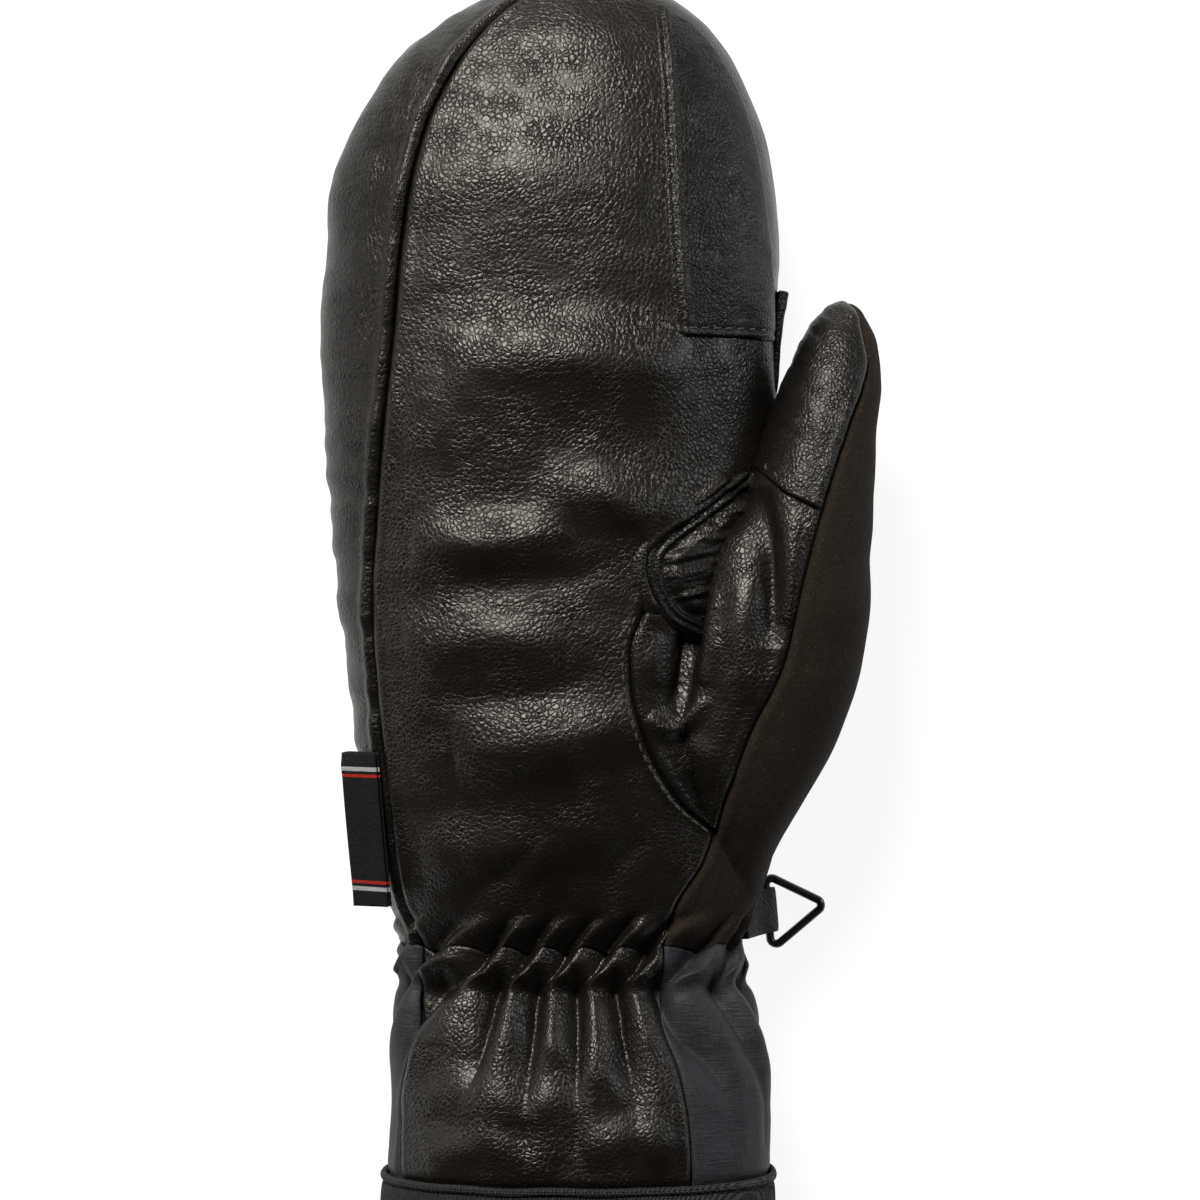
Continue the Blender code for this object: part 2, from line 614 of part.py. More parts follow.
def rounded_corners(corners, radius, steps=4):
    """A closed outline with each corner replaced by an arc."""
    line = []
    for n, corner in enumerate(corners):
        to_last = (corners[n - 1] - corner).normalized()
        to_next = (corners[(n + 1) % len(corners)] - corner).normalized()
        half = math.acos(to_last.dot(to_next)) / 2
        centre = corner + (to_last + to_next).normalized() * radius / math.sin(half)
        start = corner + to_last * radius / math.tan(half) - centre
        end = corner + to_next * radius / math.tan(half) - centre
        line += [centre + (start + (end - start) * k / steps).normalized() * radius for k in range(steps + 1)]
    return line


def build_ring():
    """A triangular wire ring, turning in a loop of leather sewn into the wrist seam."""
    ring = [Vector((*p, RING_Z)) for p in rounded_corners(RING_CORNERS, RING_CORNER_RADIUS)]
    tube("clip_ring", ring, RING_WIRE, RING_METAL, closed=True)

    bar = (RING_CORNERS[1] - RING_CORNERS[0]).normalized()
    middle = Vector(((RING_CORNERS[0].x + RING_CORNERS[1].x) / 2, LOOP_ROOT.y, RING_Z))
    reach = middle - LOOP_ROOT
    run, drop = reach.xy.length, reach.z
    hole = RING_WIRE + GAP
    outer = hole + LOOP_LEATHER
    root = 0.0009
    slope = math.atan2(drop, run)
    lean = math.asin((outer - root) / math.hypot(run, drop))
    outside = arc((run, drop), outer, slope - math.pi / 2 - lean, slope + math.pi / 2 + lean, 10)
    outside += arc((0, 0), root, slope + math.pi / 2 + lean, slope + 3 * math.pi / 2 - lean, 5)
    inside = arc((run, drop), hole, 0, 2 * math.pi * 15 / 16, 15)
    loop_curve = bpy.data.curves.new("ring_loop", "CURVE")
    loop_curve.dimensions = "2D"
    loop_curve.fill_mode = "BOTH"
    loop_curve.extrude = LOOP_WIDTH / 2
    for outline in (outside, inside):
        add_outline(loop_curve, outline)
    loop = bpy.data.objects.new("ring_loop", loop_curve)
    across = Vector((-bar.y, bar.x, 0))
    axes = Matrix((across, Vector((0, 0, 1)), Vector((bar.x, bar.y, 0)))).transposed()
    loop.matrix_world = Matrix.Translation(LOOP_ROOT) @ axes.to_4x4()
    as_part(solid_from_curve(loop), LEATHER)


def arc(centre, radius, start, end, steps):
    """Points of a circular arc in a plane."""
    angles = [start + (end - start) * step / steps for step in range(steps + 1)]
    return [Vector((centre[0] + radius * math.cos(a), centre[1] + radius * math.sin(a))) for a in angles]


def add_outline(curve, outline):
    spline = curve.splines.new("POLY")
    spline.points.add(len(outline) - 1)
    for point, place in zip(spline.points, outline):
        point.co = (*place, 0, 1)
    spline.use_cyclic_u = True


def build_label():
    """A folded woven label, sewn by its ends into the outer seam and lying over the side."""
    line = LABEL_BOTTOM - LABEL_TOP
    along = line.normalized()
    outward = Vector((-math.cos(LABEL_DROOP), 0, -math.sin(LABEL_DROOP)))
    outward = (outward - along * outward.dot(along)).normalized()
    up = along.cross(outward)
    root, fold = 0.0009, 0.0013
    lean = math.asin((fold - root) / LABEL_WIDTH)
    outside = arc((LABEL_WIDTH, 0), fold, -math.pi / 2 - lean, math.pi / 2 + lean, 8)
    outside += arc((0, 0), root, math.pi / 2 + lean, 3 * math.pi / 2 - lean, 4)
    inside = arc((LABEL_WIDTH, 0), fold - LABEL_CLOTH, -math.pi / 2, math.pi / 2, 6)
    inside += arc((0.0020, 0), root - LABEL_CLOTH, math.pi / 2, 3 * math.pi / 2, 3)
    curve = bpy.data.curves.new("side_label", "CURVE")
    curve.dimensions = "2D"
    curve.fill_mode = "BOTH"
    curve.extrude = line.length / 2
    for outline in (outside, inside):
        add_outline(curve, outline)
    label = bpy.data.objects.new("side_label", curve)
    axes = Matrix((outward, up, outward.cross(up))).transposed()
    label.matrix_world = Matrix.Translation((LABEL_TOP + LABEL_BOTTOM) / 2) @ axes.to_4x4()
    as_part(solid_from_curve(label), WOVEN_LABEL)


def hinge(name, place, nodes, under=None):
    """An empty on a joint's axis that carries the pieces turning about it."""
    empty = bpy.data.objects.new(name, None)
    empty.empty_display_size = 0.01
    PARTS.objects.link(empty)
    empty.location = place
    if under is not None:
        empty.parent = under
        empty.matrix_parent_inverse = Matrix.Translation(under.location).inverted()
    for node in nodes:
        piece = bpy.data.objects[node]
        piece.parent = empty
        piece.matrix_parent_inverse = Matrix.Translation(place).inverted()
    return empty


def hang_moving_pieces():
    """The finger pocket, the thumb, the cuff, the loop with its ring and the label, each on its own axis."""
    hinge("finger_curl_axis", (0, KNUCKLE_Y, KNUCKLE_Z),
          ("index_patch", "index_side_welt", "finger_palm_batting", "finger_back_batting"))
    hinge("thumb_flex_axis", THUMB_PIVOT,
          ("thumb_batting", "thumb_tip_patch", "thumb_palm_panel", "thumb_back_panel"))
    hinge("wrist_bend_axis", WRIST_PIVOT,
          ("cuff_palm_panel", "cuff_outer_side_panel", "cuff_thumb_side_panel", "cuff_back_panel",
           "cuff_lining", "lower_wrist_elastic", "hem_band", "hem_piping"))
    tab = hinge("tab_flap_axis", LOOP_ROOT, ("ring_loop",))
    bar = (RING_CORNERS[0] + RING_CORNERS[1]) / 2
    hinge("ring_swing_axis", Vector((*bar, RING_Z)), ("clip_ring",), under=tab)
    hinge("label_flap_axis", (LABEL_TOP + LABEL_BOTTOM) / 2, ("side_label",))


build_shell_panels()
build_overlays()
build_padding()
build_inner_layers()
build_hem()
build_crotch_piping()
build_side_welt()
build_ring()
build_label()
hang_moving_pieces()
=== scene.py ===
"""The looks of a ski mitten that lies on its back, palm up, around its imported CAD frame.

X runs across the hand towards the thumb, Y from the cuff to the fingertips, Z from the back
of the hand to the palm, in metres. The mitten's skin is one rounded surface, drawn row by row
along Y. Each panel is the part of those rows between two seams, and one relief of folds and
gathers runs over all of them.
"""

import math

import bmesh
import bpy
import numpy as np
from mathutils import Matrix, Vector
from mathutils.bvhtree import BVHTree


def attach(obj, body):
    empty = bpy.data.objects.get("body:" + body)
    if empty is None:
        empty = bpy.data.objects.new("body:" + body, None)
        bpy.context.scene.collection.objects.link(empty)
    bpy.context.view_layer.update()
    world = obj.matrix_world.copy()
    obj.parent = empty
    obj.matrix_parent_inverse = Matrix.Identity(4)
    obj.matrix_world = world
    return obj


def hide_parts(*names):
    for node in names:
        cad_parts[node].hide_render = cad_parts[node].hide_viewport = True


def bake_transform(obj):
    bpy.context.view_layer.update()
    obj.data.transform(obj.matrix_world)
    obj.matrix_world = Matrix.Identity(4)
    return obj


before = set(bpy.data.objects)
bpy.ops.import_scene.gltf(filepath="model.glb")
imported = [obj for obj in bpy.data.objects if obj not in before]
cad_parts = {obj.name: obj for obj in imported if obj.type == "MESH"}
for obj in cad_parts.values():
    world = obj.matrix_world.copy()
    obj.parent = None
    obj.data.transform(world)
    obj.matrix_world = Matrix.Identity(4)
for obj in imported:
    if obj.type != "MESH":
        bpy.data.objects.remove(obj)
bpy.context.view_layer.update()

MM = 0.001
TIP_Y = 0.152
THUMB_TIP_Y = 0.0705
TIP_GAP = 2e-7
HEM_Y = -0.152
HEM_SEAM_Y = -0.1375
WRIST_Y = -0.083
LOWER_ELASTIC_Y = -0.0925
SIDE_SEAM_Z = 0.026
OUTER_SEAM_Z = 0.012
SQUARENESS = 2.3
TIP_Z = 0.024
FORK_Y = -0.0547
FLOOR_Z = -0.0014
UP = np.array((0.0, 0.0, 1.0))
# Places along a row of a section, in half degrees round it.
LEFT, UNDER, RIGHT, TOP, ROUND = 0, 180, 360, 540, 720
# A stretch that ends this far before its start goes on round the row. One that ends nearer is empty.
WRAP_SLACK = 100

# Cross sections of the hand and of the thumb: y, left edge, right edge, underside, top.
HAND_SECTIONS = np.array((
    (-0.152, -0.0525, 0.0415, 0.0006, 0.0570),
    (-0.138, -0.0515, 0.0412, 0.0006, 0.0565),
    (-0.120, -0.0500, 0.0408, 0.0000, 0.0550),
    (-0.105, -0.0503, 0.0388, 0.0008, 0.0515),
    (-0.0925, -0.0485, 0.0352, 0.0025, 0.0465),
    (-0.083, -0.0485, 0.0345, 0.0025, 0.0460),
    (-0.067, -0.0522, 0.0392, 0.0005, 0.0500),
    (-0.045, -0.0568, 0.0402, 0.0000, 0.0545),
    (-0.015, -0.0612, 0.0402, 0.0000, 0.0570),
    (0.020, -0.0642, 0.0412, 0.0000, 0.0575),
    (0.060, -0.0668, 0.0425, 0.0000, 0.0565),
    (0.090, -0.0655, 0.0420, 0.0005, 0.0540),
    (0.110, -0.0600, 0.0392, 0.0015, 0.0510),
    (0.126, -0.0508, 0.0338, 0.0035, 0.0475),
    (0.137, -0.0412, 0.0272, 0.0065, 0.0435),
    (0.145, -0.0295, 0.0175, 0.0100, 0.0390),
    (0.150, -0.0175, 0.0065, 0.0145, 0.0340),
    (TIP_Y, -0.0060, -0.0059, 0.0239, 0.0240),
))
THUMB_SECTIONS = np.array((
    (-0.072, 0.0290, 0.0350, 0.0150, 0.0320),
    (-0.062, 0.0245, 0.0410, 0.0080, 0.0420),
    (-0.048, 0.0170, 0.0490, 0.0050, 0.0520),
    (-0.032, 0.0130, 0.0575, 0.0045, 0.0575),
    (-0.016, 0.0165, 0.0625, 0.0060, 0.0605),
    (0.000, 0.0235, 0.0645, 0.0090, 0.0620),
    (0.020, 0.0320, 0.0648, 0.0130, 0.0610),
    (0.038, 0.0390, 0.0655, 0.0170, 0.0580),
    (0.050, 0.0432, 0.0667, 0.0205, 0.0545),
    (0.060, 0.0472, 0.0660, 0.0245, 0.0505),
    (0.066, 0.0508, 0.0636, 0.0285, 0.0465),
    (THUMB_TIP_Y, 0.0588, 0.0589, 0.0374, 0.0375),
))

# Seams seen from above, from the fingertips towards the cuff.
OUTER_SEAM = np.array((
    (-0.0060, 0.1520), (-0.0155, 0.1460), (-0.0260, 0.1370), (-0.0350, 0.1240), (-0.0407, 0.1117),
    (-0.0458, 0.0900), (-0.0485, 0.0650), (-0.0515, 0.0350), (-0.0540, 0.0020), (-0.0532, -0.0200),
    (-0.0505, -0.0450), (-0.0470, -0.0700), (-0.0430, -0.0830), (-0.0430, -0.0960), (-0.0455, -0.1080),
    (-0.0475, -0.1200), (-0.0478, -0.1520),
))
GUSSET_SEAM = np.array((
    (0.0098, -0.0035), (0.0070, -0.0120), (0.0074, -0.0220), (0.0098, -0.0312), (0.0135, -0.0396),
    (0.0192, -0.0480), (0.0272, -0.0547),
))
THUMB_SEAM = np.array((
    (0.0589, THUMB_TIP_Y), (0.0606, 0.0680), (0.0626, 0.0562), (0.0580, 0.0400), (0.0528, 0.0247),
    (0.0470, 0.0038), (0.0430, -0.0144), (0.0352, -0.0310), (0.0295, -0.0466), (0.0272, -0.0547),
    (0.0242, -0.0622), (0.0180, -0.0722), (0.0150, -0.0830),
))
CUFF_RIGHT_SEAM = np.array((
    (0.0150, -0.0830), (0.0150, -0.0960), (0.0190, -0.1120), (0.0212, -0.1260), (0.0227, -0.1520),
))
PALM_AT_CROTCH = np.array((
    (0.0098, -0.0035), (0.0122, 0.0040), (0.0130, 0.0110), (0.0165, 0.0155), (0.0215, 0.0190),
    (0.0270, 0.0230), (0.0340, 0.0285),
))


# ---------------------------------------------------------------- curves and noise

def smooth_through(stations, values, wanted):
    """Values on a smooth curve through the given stations, with no overshoot."""
    order = np.argsort(stations)
    s, v = np.asarray(stations, float)[order], np.asarray(values, float)[order]
    steps = np.diff(v) / np.diff(s)
    slope = np.zeros(len(v))
    slope[0], slope[-1] = steps[0], steps[-1]
    same = steps[:-1] * steps[1:] > 0
    inner = np.zeros(len(steps) - 1)
    inner[same] = 2 * steps[:-1][same] * steps[1:][same] / (steps[:-1] + steps[1:])[same]
    slope[1:-1] = inner
    wanted = np.clip(wanted, s[0], s[-1])
    k = np.clip(np.searchsorted(s, wanted) - 1, 0, len(s) - 2)
    h = s[k + 1] - s[k]
    t = (wanted - s[k]) / h
    return ((2 * t ** 3 - 3 * t ** 2 + 1) * v[k] + (t ** 3 - 2 * t ** 2 + t) * h * slope[k]
            + (3 * t ** 2 - 2 * t ** 3) * v[k + 1] + (t ** 3 - t ** 2) * h * slope[k + 1])


def ramp(value, low, high):
    """0 below low, 1 above high and smooth between them."""
    t = np.clip((value - low) / (high - low), 0, 1)
    return t * t * (3 - 2 * t)


def bell(value, middle, half_width):
    """A bump that is 1 at the middle and fades to both sides over about a half width."""
    return np.exp(-(((value - middle) / half_width) ** 2))


def lattice(cells, seed):
    """A repeatable random number from -1 to 1 for each whole-number cell."""
    a, b, c = np.moveaxis(cells, -1, 0)
    mixed = a * 374761393 + b * 668265263 + c * 2147483647 + seed * 974634777
    mixed = (mixed ^ (mixed >> 13)) * 1274126177
    mixed = (mixed ^ (mixed >> 16)) & 0xFFFFFF
    return mixed / 0x7FFFFF - 1.0


def noise(points, seed=0):
    """Smooth noise from about -1 to 1 at points whose cells are one unit wide."""
    base = np.floor(points).astype(np.int64)
    part = points - base
    part = part * part * part * (part * (part * 6 - 15) + 10)
    total = 0
    for corner in range(8):
        offset = np.array((corner & 1, corner >> 1 & 1, corner >> 2 & 1))
        share = np.prod(np.where(offset, part, 1 - part), axis=-1)
        total = total + share * lattice(base + offset, seed)
    return total


def noise_over(points, cell, seed):
    """Smooth noise at points in metres, with cells of the given size along x, y and z."""
    return noise(points / np.array(cell), seed)


def layered_noise(points, seed=0, layers=3):
    total, strength = 0, 1
    for n in range(layers):
        total = total + strength * noise(points * 2 ** n, seed + n)
        strength *= 0.5
    return total


def distance_to_line(x, y, line):
    """Distance in plan from points to a line of points, and how far along it they are, from 0 to 1."""
    line = np.asarray(line, float)
    best = np.full(np.shape(x), 1e9)
    where = np.zeros(np.shape(x))
    lengths = np.hypot(*np.diff(line, axis=0).T)
    before = np.concatenate(([0], np.cumsum(lengths)))
    for n, (a, b) in enumerate(zip(line, line[1:])):
        d = b - a
        t = np.clip(((x - a[0]) * d[0] + (y - a[1]) * d[1]) / (d @ d), 0, 1)
        far = np.hypot(x - a[0] - t * d[0], y - a[1] - t * d[1])
        nearer = far < best
        best = np.where(nearer, far, best)
        where = np.where(nearer, (before[n] + t * lengths[n]) / before[-1], where)
    return best, where


def smooth_line(points, steps=8):
    """Points along a smooth curve through the given points."""
    p = np.asarray(points, float)
    p = np.vstack((2 * p[0] - p[1], p, 2 * p[-1] - p[-2]))
    line = []
    for a, b, c, d in zip(p, p[1:], p[2:], p[3:]):
        for k in range(steps):
            t = k / steps
            line.append(0.5 * (2 * b + (c - a) * t + (2 * a - 5 * b + 4 * c - d) * t * t
                               + (3 * b - a - 3 * c + d) * t ** 3))
    return np.array([*line, p[-2]])


# ---------------------------------------------------------------- the skin

def section(sections, tip, y):
    """Centre and half sizes (x, z, half width, half height) of a tube at stations y."""
    q = np.sqrt(np.clip(tip - y, 0, None))
    s = np.sqrt(np.clip(tip - sections[:, 0], 0, None))
    left, right, low, high = (smooth_through(s, sections[:, n], q) for n in range(1, 5))
    return (left + right) / 2, (low + high) / 2, (right - left) / 2, (high - low) / 2


def section_at(sections, tip, y):
    """The same at one station, as plain numbers."""
    return [float(v) for v in section(sections, tip, np.array(y))]


def seam_x(seam, y):
    return smooth_through(seam[:, 1], seam[:, 0], y)


def exit_radius(cx, cz, tube):
    """How far from a centre the rays leave a tube's section, or 0 where they miss it."""
    x, z, wide, tall = tube

    def within(r):
        px, pz = cx + r * np.cos(RAYS), cz + r * np.sin(RAYS)
        return np.abs((px - x) / wide) ** SQUARENESS + np.abs((pz - z) / tall) ** SQUARENESS < 1

    r = np.linspace(0, 0.09, 240)[:, None]
    inside = within(r)
    found = inside.any(0)
    last = inside.shape[0] - 1 - inside[::-1].argmax(0)
    low = np.where(found, r[last, 0], 0)
    high = low + r[1, 0]
    for _ in range(12):
        middle = (low + high) / 2
        deeper = within(middle)
        low, high = np.where(deeper, middle, low), np.where(deeper, high, middle)
    return np.where(found, low, 0)


def smooth_max(a, b, width):
    share = np.clip(0.5 + 0.5 * (a - b) / width, 0, 1)
    return b + (a - b) * share + width * share * (1 - share)


RAYS = np.radians(np.linspace(-180, 180, ROUND + 1))


def hand_row(y, with_thumb):
    """The outline at station y as points x, z round the hand, anticlockwise from the left.

    with_thumb, from 0 to 1, says how much of the thumb's root bulges out of it."""
    tube = section_at(HAND_SECTIONS, TIP_Y, y)
    cx, cz = tube[0] + 0.010 * ramp(with_thumb, 0, 1), tube[1]
    out = exit_radius(cx, cz, tube)
    if with_thumb > 0 and y > THUMB_SECTIONS[0, 0]:
        bulge = exit_radius(cx, cz, section_at(THUMB_SECTIONS, THUMB_TIP_Y, y))
        out = out + (smooth_max(out, bulge, 0.005) - out) * with_thumb
    return np.stack((cx + out * np.cos(RAYS), cz + out * np.sin(RAYS)), 1)


def oval(tube, turn):
    """Points x, z round a tube's section at these angles."""
    x, z, wide, tall = tube
    across, up = np.cos(turn), np.sin(turn)
    power = 2 / SQUARENESS
    return np.stack((x + wide * np.sign(across) * np.abs(across) ** power,
                     z + tall * np.sign(up) * np.abs(up) ** power), 1)


def thumb_row(y):
    """The thumb's own outline at station y, anticlockwise from its left."""
    return oval(section_at(THUMB_SECTIONS, THUMB_TIP_Y, y), RAYS)


def crossing(values, wanted):
    """Where along a run of climbing values the wanted one is reached."""
    climb = np.maximum.accumulate(values)
    return float(np.interp(wanted, climb, np.arange(len(climb))))


def top_at(row, x):
    """The place along a row, as an index, where its upper half crosses x."""
    return RIGHT + crossing(-row[RIGHT:, 0], -x)


def right_at(row, z):
    """The place along a row where its right half crosses z."""
    return UNDER + crossing(row[UNDER:TOP + 1, 1], z)


def left_at(row, z):
    """The place along a row where its left half crosses z: past ROUND where that is below the middle."""
    return TOP + crossing(-np.concatenate((row[TOP:ROUND, 1], row[:UNDER + 1, 1])), -z)


def under_at(row, x):
    """The place along a row where its lower half crosses x."""
    return crossing(row[:RIGHT + 1, 0], x)


def stretch_of(row, start, end, count):
    """count points of a closed row from one place to another, evenly spaced, going anticlockwise."""
    loop = np.vstack((row[:-1], row[:-1], row[:1]))
    if end < start - WRAP_SLACK:
        end += ROUND
    end = max(end, start + 0.01)
    places = np.concatenate(([start], np.arange(math.floor(start) + 1, math.ceil(end)), [end]))
    x = np.interp(places, np.arange(len(loop)), loop[:, 0])
    z = np.interp(places, np.arange(len(loop)), loop[:, 1])
    run = np.concatenate(([0], np.cumsum(np.hypot(np.diff(x), np.diff(z)))))
    even = np.linspace(0, run[-1], count)
    return np.stack((np.interp(even, run, x), np.interp(even, run, z)), 1)


def top_height(sections, tip, x, y):
    """The height of a tube's upper surface over places in plan, or -1 beside it."""
    cx, cz, wide, tall = section(sections, tip, y)
    aside = np.clip(np.abs(x - cx) / wide, 0, 1)
    return np.where(aside < 1, cz + tall * (1 - aside ** SQUARENESS) ** (1 / SQUARENESS), -1)


def grid_of(rows, ys):
    """(rows, columns, 3) points from rows of x, z."""
    points = np.zeros((len(rows), len(rows[0]), 3))
    for n, (row, y) in enumerate(zip(rows, ys)):
        points[n, :, 0], points[n, :, 1], points[n, :, 2] = row[:, 0], y, row[:, 1]
    return points


def normals_of(grid):
    """Unit normals of a grid, pointing out of the mitten."""
    along = np.gradient(grid, axis=0)
    across = np.gradient(grid, axis=1)
    normal = np.cross(across, along)
    size = np.linalg.norm(normal, axis=2, keepdims=True)
    return -normal / np.maximum(size, 1e-12)


def edge_distances(grid):
    """Distances of each point of a grid from its first and last column, along its row."""
    run = np.linalg.norm(np.diff(grid, axis=1), axis=2)
    so_far = np.concatenate((np.zeros((len(grid), 1)), np.cumsum(run, axis=1)), 1)
    return so_far, so_far[:, -1:] - so_far


def hand_weight(y):
    """How much of the thumb's root the hand's outline carries at a station."""
    return 1 - float(ramp(y, -0.010, 0.004))


hand_rows = {}


def cached_row(y, with_thumb=None):
    weight = hand_weight(y) if with_thumb is None else with_thumb
    key = round(float(y), 7), round(weight, 4)
    if key not in hand_rows:
        hand_rows[key] = hand_row(key[0], weight)
    return hand_rows[key]


# ---------------------------------------------------------------- relief: folds, gathers, seams

# Soft folds of the palm leather: a line seen from above, its height and its half width in mm.
PALM_FOLDS = (
    (((-0.036, 0.0540), (-0.012, 0.0570), (0.020, 0.0540)), 3.0, 8.0),
    (((-0.044, 0.0140), (-0.024, 0.0130), (-0.006, 0.0170)), 2.5, 6.2),
    (((-0.014, 0.0270), (0.006, 0.0230), (0.026, 0.0170)), 2.2, 6.4),
    (((-0.046, -0.0100), (-0.028, -0.0080), (-0.008, -0.0110)), 1.9, 6.0),
    (((-0.034, -0.0370), (-0.008, -0.0330), (0.012, -0.0260)), 2.8, 7.4),
    (((-0.026, 0.1310), (-0.008, 0.1330), (0.008, 0.1270)), 0.6, 7.0),
    (((-0.042, -0.0600), (-0.014, -0.0580), (0.004, -0.0520)), 1.7, 6.6),
    (((-0.046, 0.0480), (-0.012, 0.0500), (0.024, 0.0470)), 1.6, 15.0),
    (((-0.044, 0.0980), (-0.014, 0.1010), (0.014, 0.0980)), 1.9, 12.5),
    (((-0.036, 0.0030), (-0.008, 0.0050), (0.006, 0.0100)), -0.7, 3.8),
    (((-0.040, -0.0230), (-0.014, -0.0220), (0.000, -0.0160)), -0.7, 3.6),
    (((-0.034, -0.0720), (-0.022, -0.0640), (-0.012, -0.0520)), -0.8, 2.8),
    (((0.002, -0.0720), (0.004, -0.0620), (0.012, -0.0540)), -0.8, 2.6),
    (((0.020, 0.0080), (0.006, 0.0200), (-0.004, 0.0380)), 0.8, 3.6),
)
# Folds of the thumb's leather: the deep fold beside the crotch, the ridge it turns round, a shallow one.
THUMB_FOLDS = (
    (((0.0262, 0.0110), (0.0232, 0.0000), (0.0208, -0.0110), (0.0186, -0.0215), (0.0164, -0.0262)),
     -4.2, 2.2),
    (((0.0330, 0.0190), (0.0282, 0.0050), (0.0262, -0.0080), (0.0236, -0.0200)), 2.6, 3.0),
    (((0.0240, -0.0220), (0.0206, -0.0282), (0.0154, -0.0300), (0.0112, -0.0268)), 2.2, 1.9),
    (((0.0372, 0.0260), (0.0382, 0.0120), (0.0396, 0.0000), (0.0392, -0.0110)), -3.8, 3.0),
    (((0.0325, 0.0160), (0.0322, 0.0020), (0.0328, -0.0120), (0.0350, -0.0240)), 1.8, 3.2),
    (((0.0450, 0.0200), (0.0440, 0.0080), (0.0420, -0.0060)), 1.5, 2.6),
    (((0.0200, -0.0340), (0.0262, -0.0370), (0.0310, -0.0440)), 1.1, 3.4),
    (((0.0130, -0.0200), (0.0120, -0.0140), (0.0135, -0.0080)), 0.9, 2.2),
)
CUFF_FOLDS = (
    (((-0.040, -0.1130), (-0.020, -0.1180), (0.000, -0.1160)), 1.6, 6.0),
    (((-0.042, -0.1300), (-0.028, -0.1270), (-0.010, -0.1320)), 1.3, 5.0),
    (((-0.004, -0.1290), (0.008, -0.1250), (0.018, -0.1300)), 1.7, 5.0),
    (((-0.014, -0.1040), (-0.002, -0.1090), (0.006, -0.1180)), 1.3, 4.0),
)
SKIN = 1.0 * MM
PLEAT = 9.4 * MM
PLEAT_MIDDLE = -6.5 * MM
LEAN = 0.67


def fold_relief(grid, folds):
    """Heights, in metres, of folds that fade out at both ends."""
    x, y = grid[..., 0], grid[..., 1]
    total = np.zeros(np.shape(x))
    for line, height, width in folds:
        far, where = distance_to_line(x, y, smooth_line(line, 5))
        fade = np.sin(np.pi * np.clip(where, 0.0, 1.0)) ** 0.6
        total += height * MM * fade * bell(far, 0, width * MM)
    return total


def crest(phase, sharp=1.8, peak=0.36):
    """A row of plump, lopsided ridges, one for each whole number of the phase: 1 on the crests, 0 between."""
    part = phase - np.floor(phase)
    rise = np.where(part < peak, part / peak, (1 - part) / (1 - peak))
    return 1 - (1 - rise) ** sharp


def pleat_rows(grid):
    """The ridges and the reach of the two rows of pleats over the wrist's elastics."""
    x, y, z = np.moveaxis(grid, -1, 0)
    aside = x - PLEAT_MIDDLE
    wobble = 1.3 * MM * noise_over(grid, (0.016, 0.030, 0.030), 5)
    round_the_side = 0.6 * (0.030 - z) * np.sign(aside) * ramp(np.abs(aside), 0.020, 0.040)
    across = aside + wobble + round_the_side
    first = crest((across - LEAN * (y + 0.0758) + 0.0022) / PLEAT + 0.36)
    fan = 1 + 0.40 * ramp(-y, 0.086, 0.122)
    second = crest(across / fan / PLEAT + 0.86)
    first_size = ramp(y, -0.0725, -0.0790) * ramp(y, -0.0945, -0.0890)
    second_size = ramp(y, -0.0860, -0.0905) * (0.22 + 0.78 * ramp(y, -0.1220, -0.0960))
    return first, second, first_size, second_size * ramp(y, -0.1340, -0.1240)


def gathers(grid, side):
    """Pleats over the wrist's two elastics. side is +1 on the palm side and -1 on the back."""
    y = grid[..., 1]
    first, second, first_size, second_size = pleat_rows(grid)
    uneven = 0.9 + 0.45 * noise_over(grid, (0.011, 0.040, 0.025), 9)
    waist = -1.3 * MM * bell(y, WRIST_Y, 0.0024) - 1.4 * MM * bell(y, LOWER_ELASTIC_Y, 0.0024)
    ridges = 4.2 * MM * uneven * (first_size * (first - 0.62) + second_size * (second - 0.62))
    return (ridges + waist) * (1.0 if side > 0 else 0.8)


def pulled(grid):
    """Rows drawn up and down by the pleats, so that the wrist's seams run in scallops."""
    first, second, first_size, second_size = pleat_rows(grid)
    moved = grid.copy()
    moved[..., 1] += 2.6 * MM * first_size * (first - 0.5) + 2.2 * MM * second_size * (second - 0.5)
    return moved


def skin_relief(grid, wrinkled=1.0):
    """How far the skin stands off the plain rounded surface, apart from its folds and seams."""
    soft = grid / np.array((0.040, 0.021, 0.030))
    fine = grid / np.array((0.014, 0.0080, 0.013))
    relief = 0.55 * MM * layered_noise(soft, 11, 2) + 0.12 * MM * layered_noise(fine, 23, 2)
    return wrinkled * (relief + 0.05 * MM * noise_over(grid, (0.0052, 0.0031, 0.0048), 31))


def dip(far, depth=0.85, width=0.65, lip=0.30, lip_at=2.1):
    """The dip of a panel into a seam far away, with a low ridge beside it over the turned-in edge."""
    far = far / MM
    return MM * (lip * bell(far, lip_at, 1.3) - depth * bell(far, 0, width))


def raised(grid, relief):
    """A grid moved out along its normals by a relief."""
    return pulled(grid + normals_of(grid) * relief[..., None])


# ---------------------------------------------------------------- making pieces

def mesh_piece(name, verts, faces):
    data = bpy.data.meshes.new(name)
    data.from_pydata(np.asarray(verts, float).tolist(), [], faces)
    data.validate()
    obj = bpy.data.objects.new(name, data)
    bpy.context.scene.collection.objects.link(obj)
    clean(obj)
    return obj


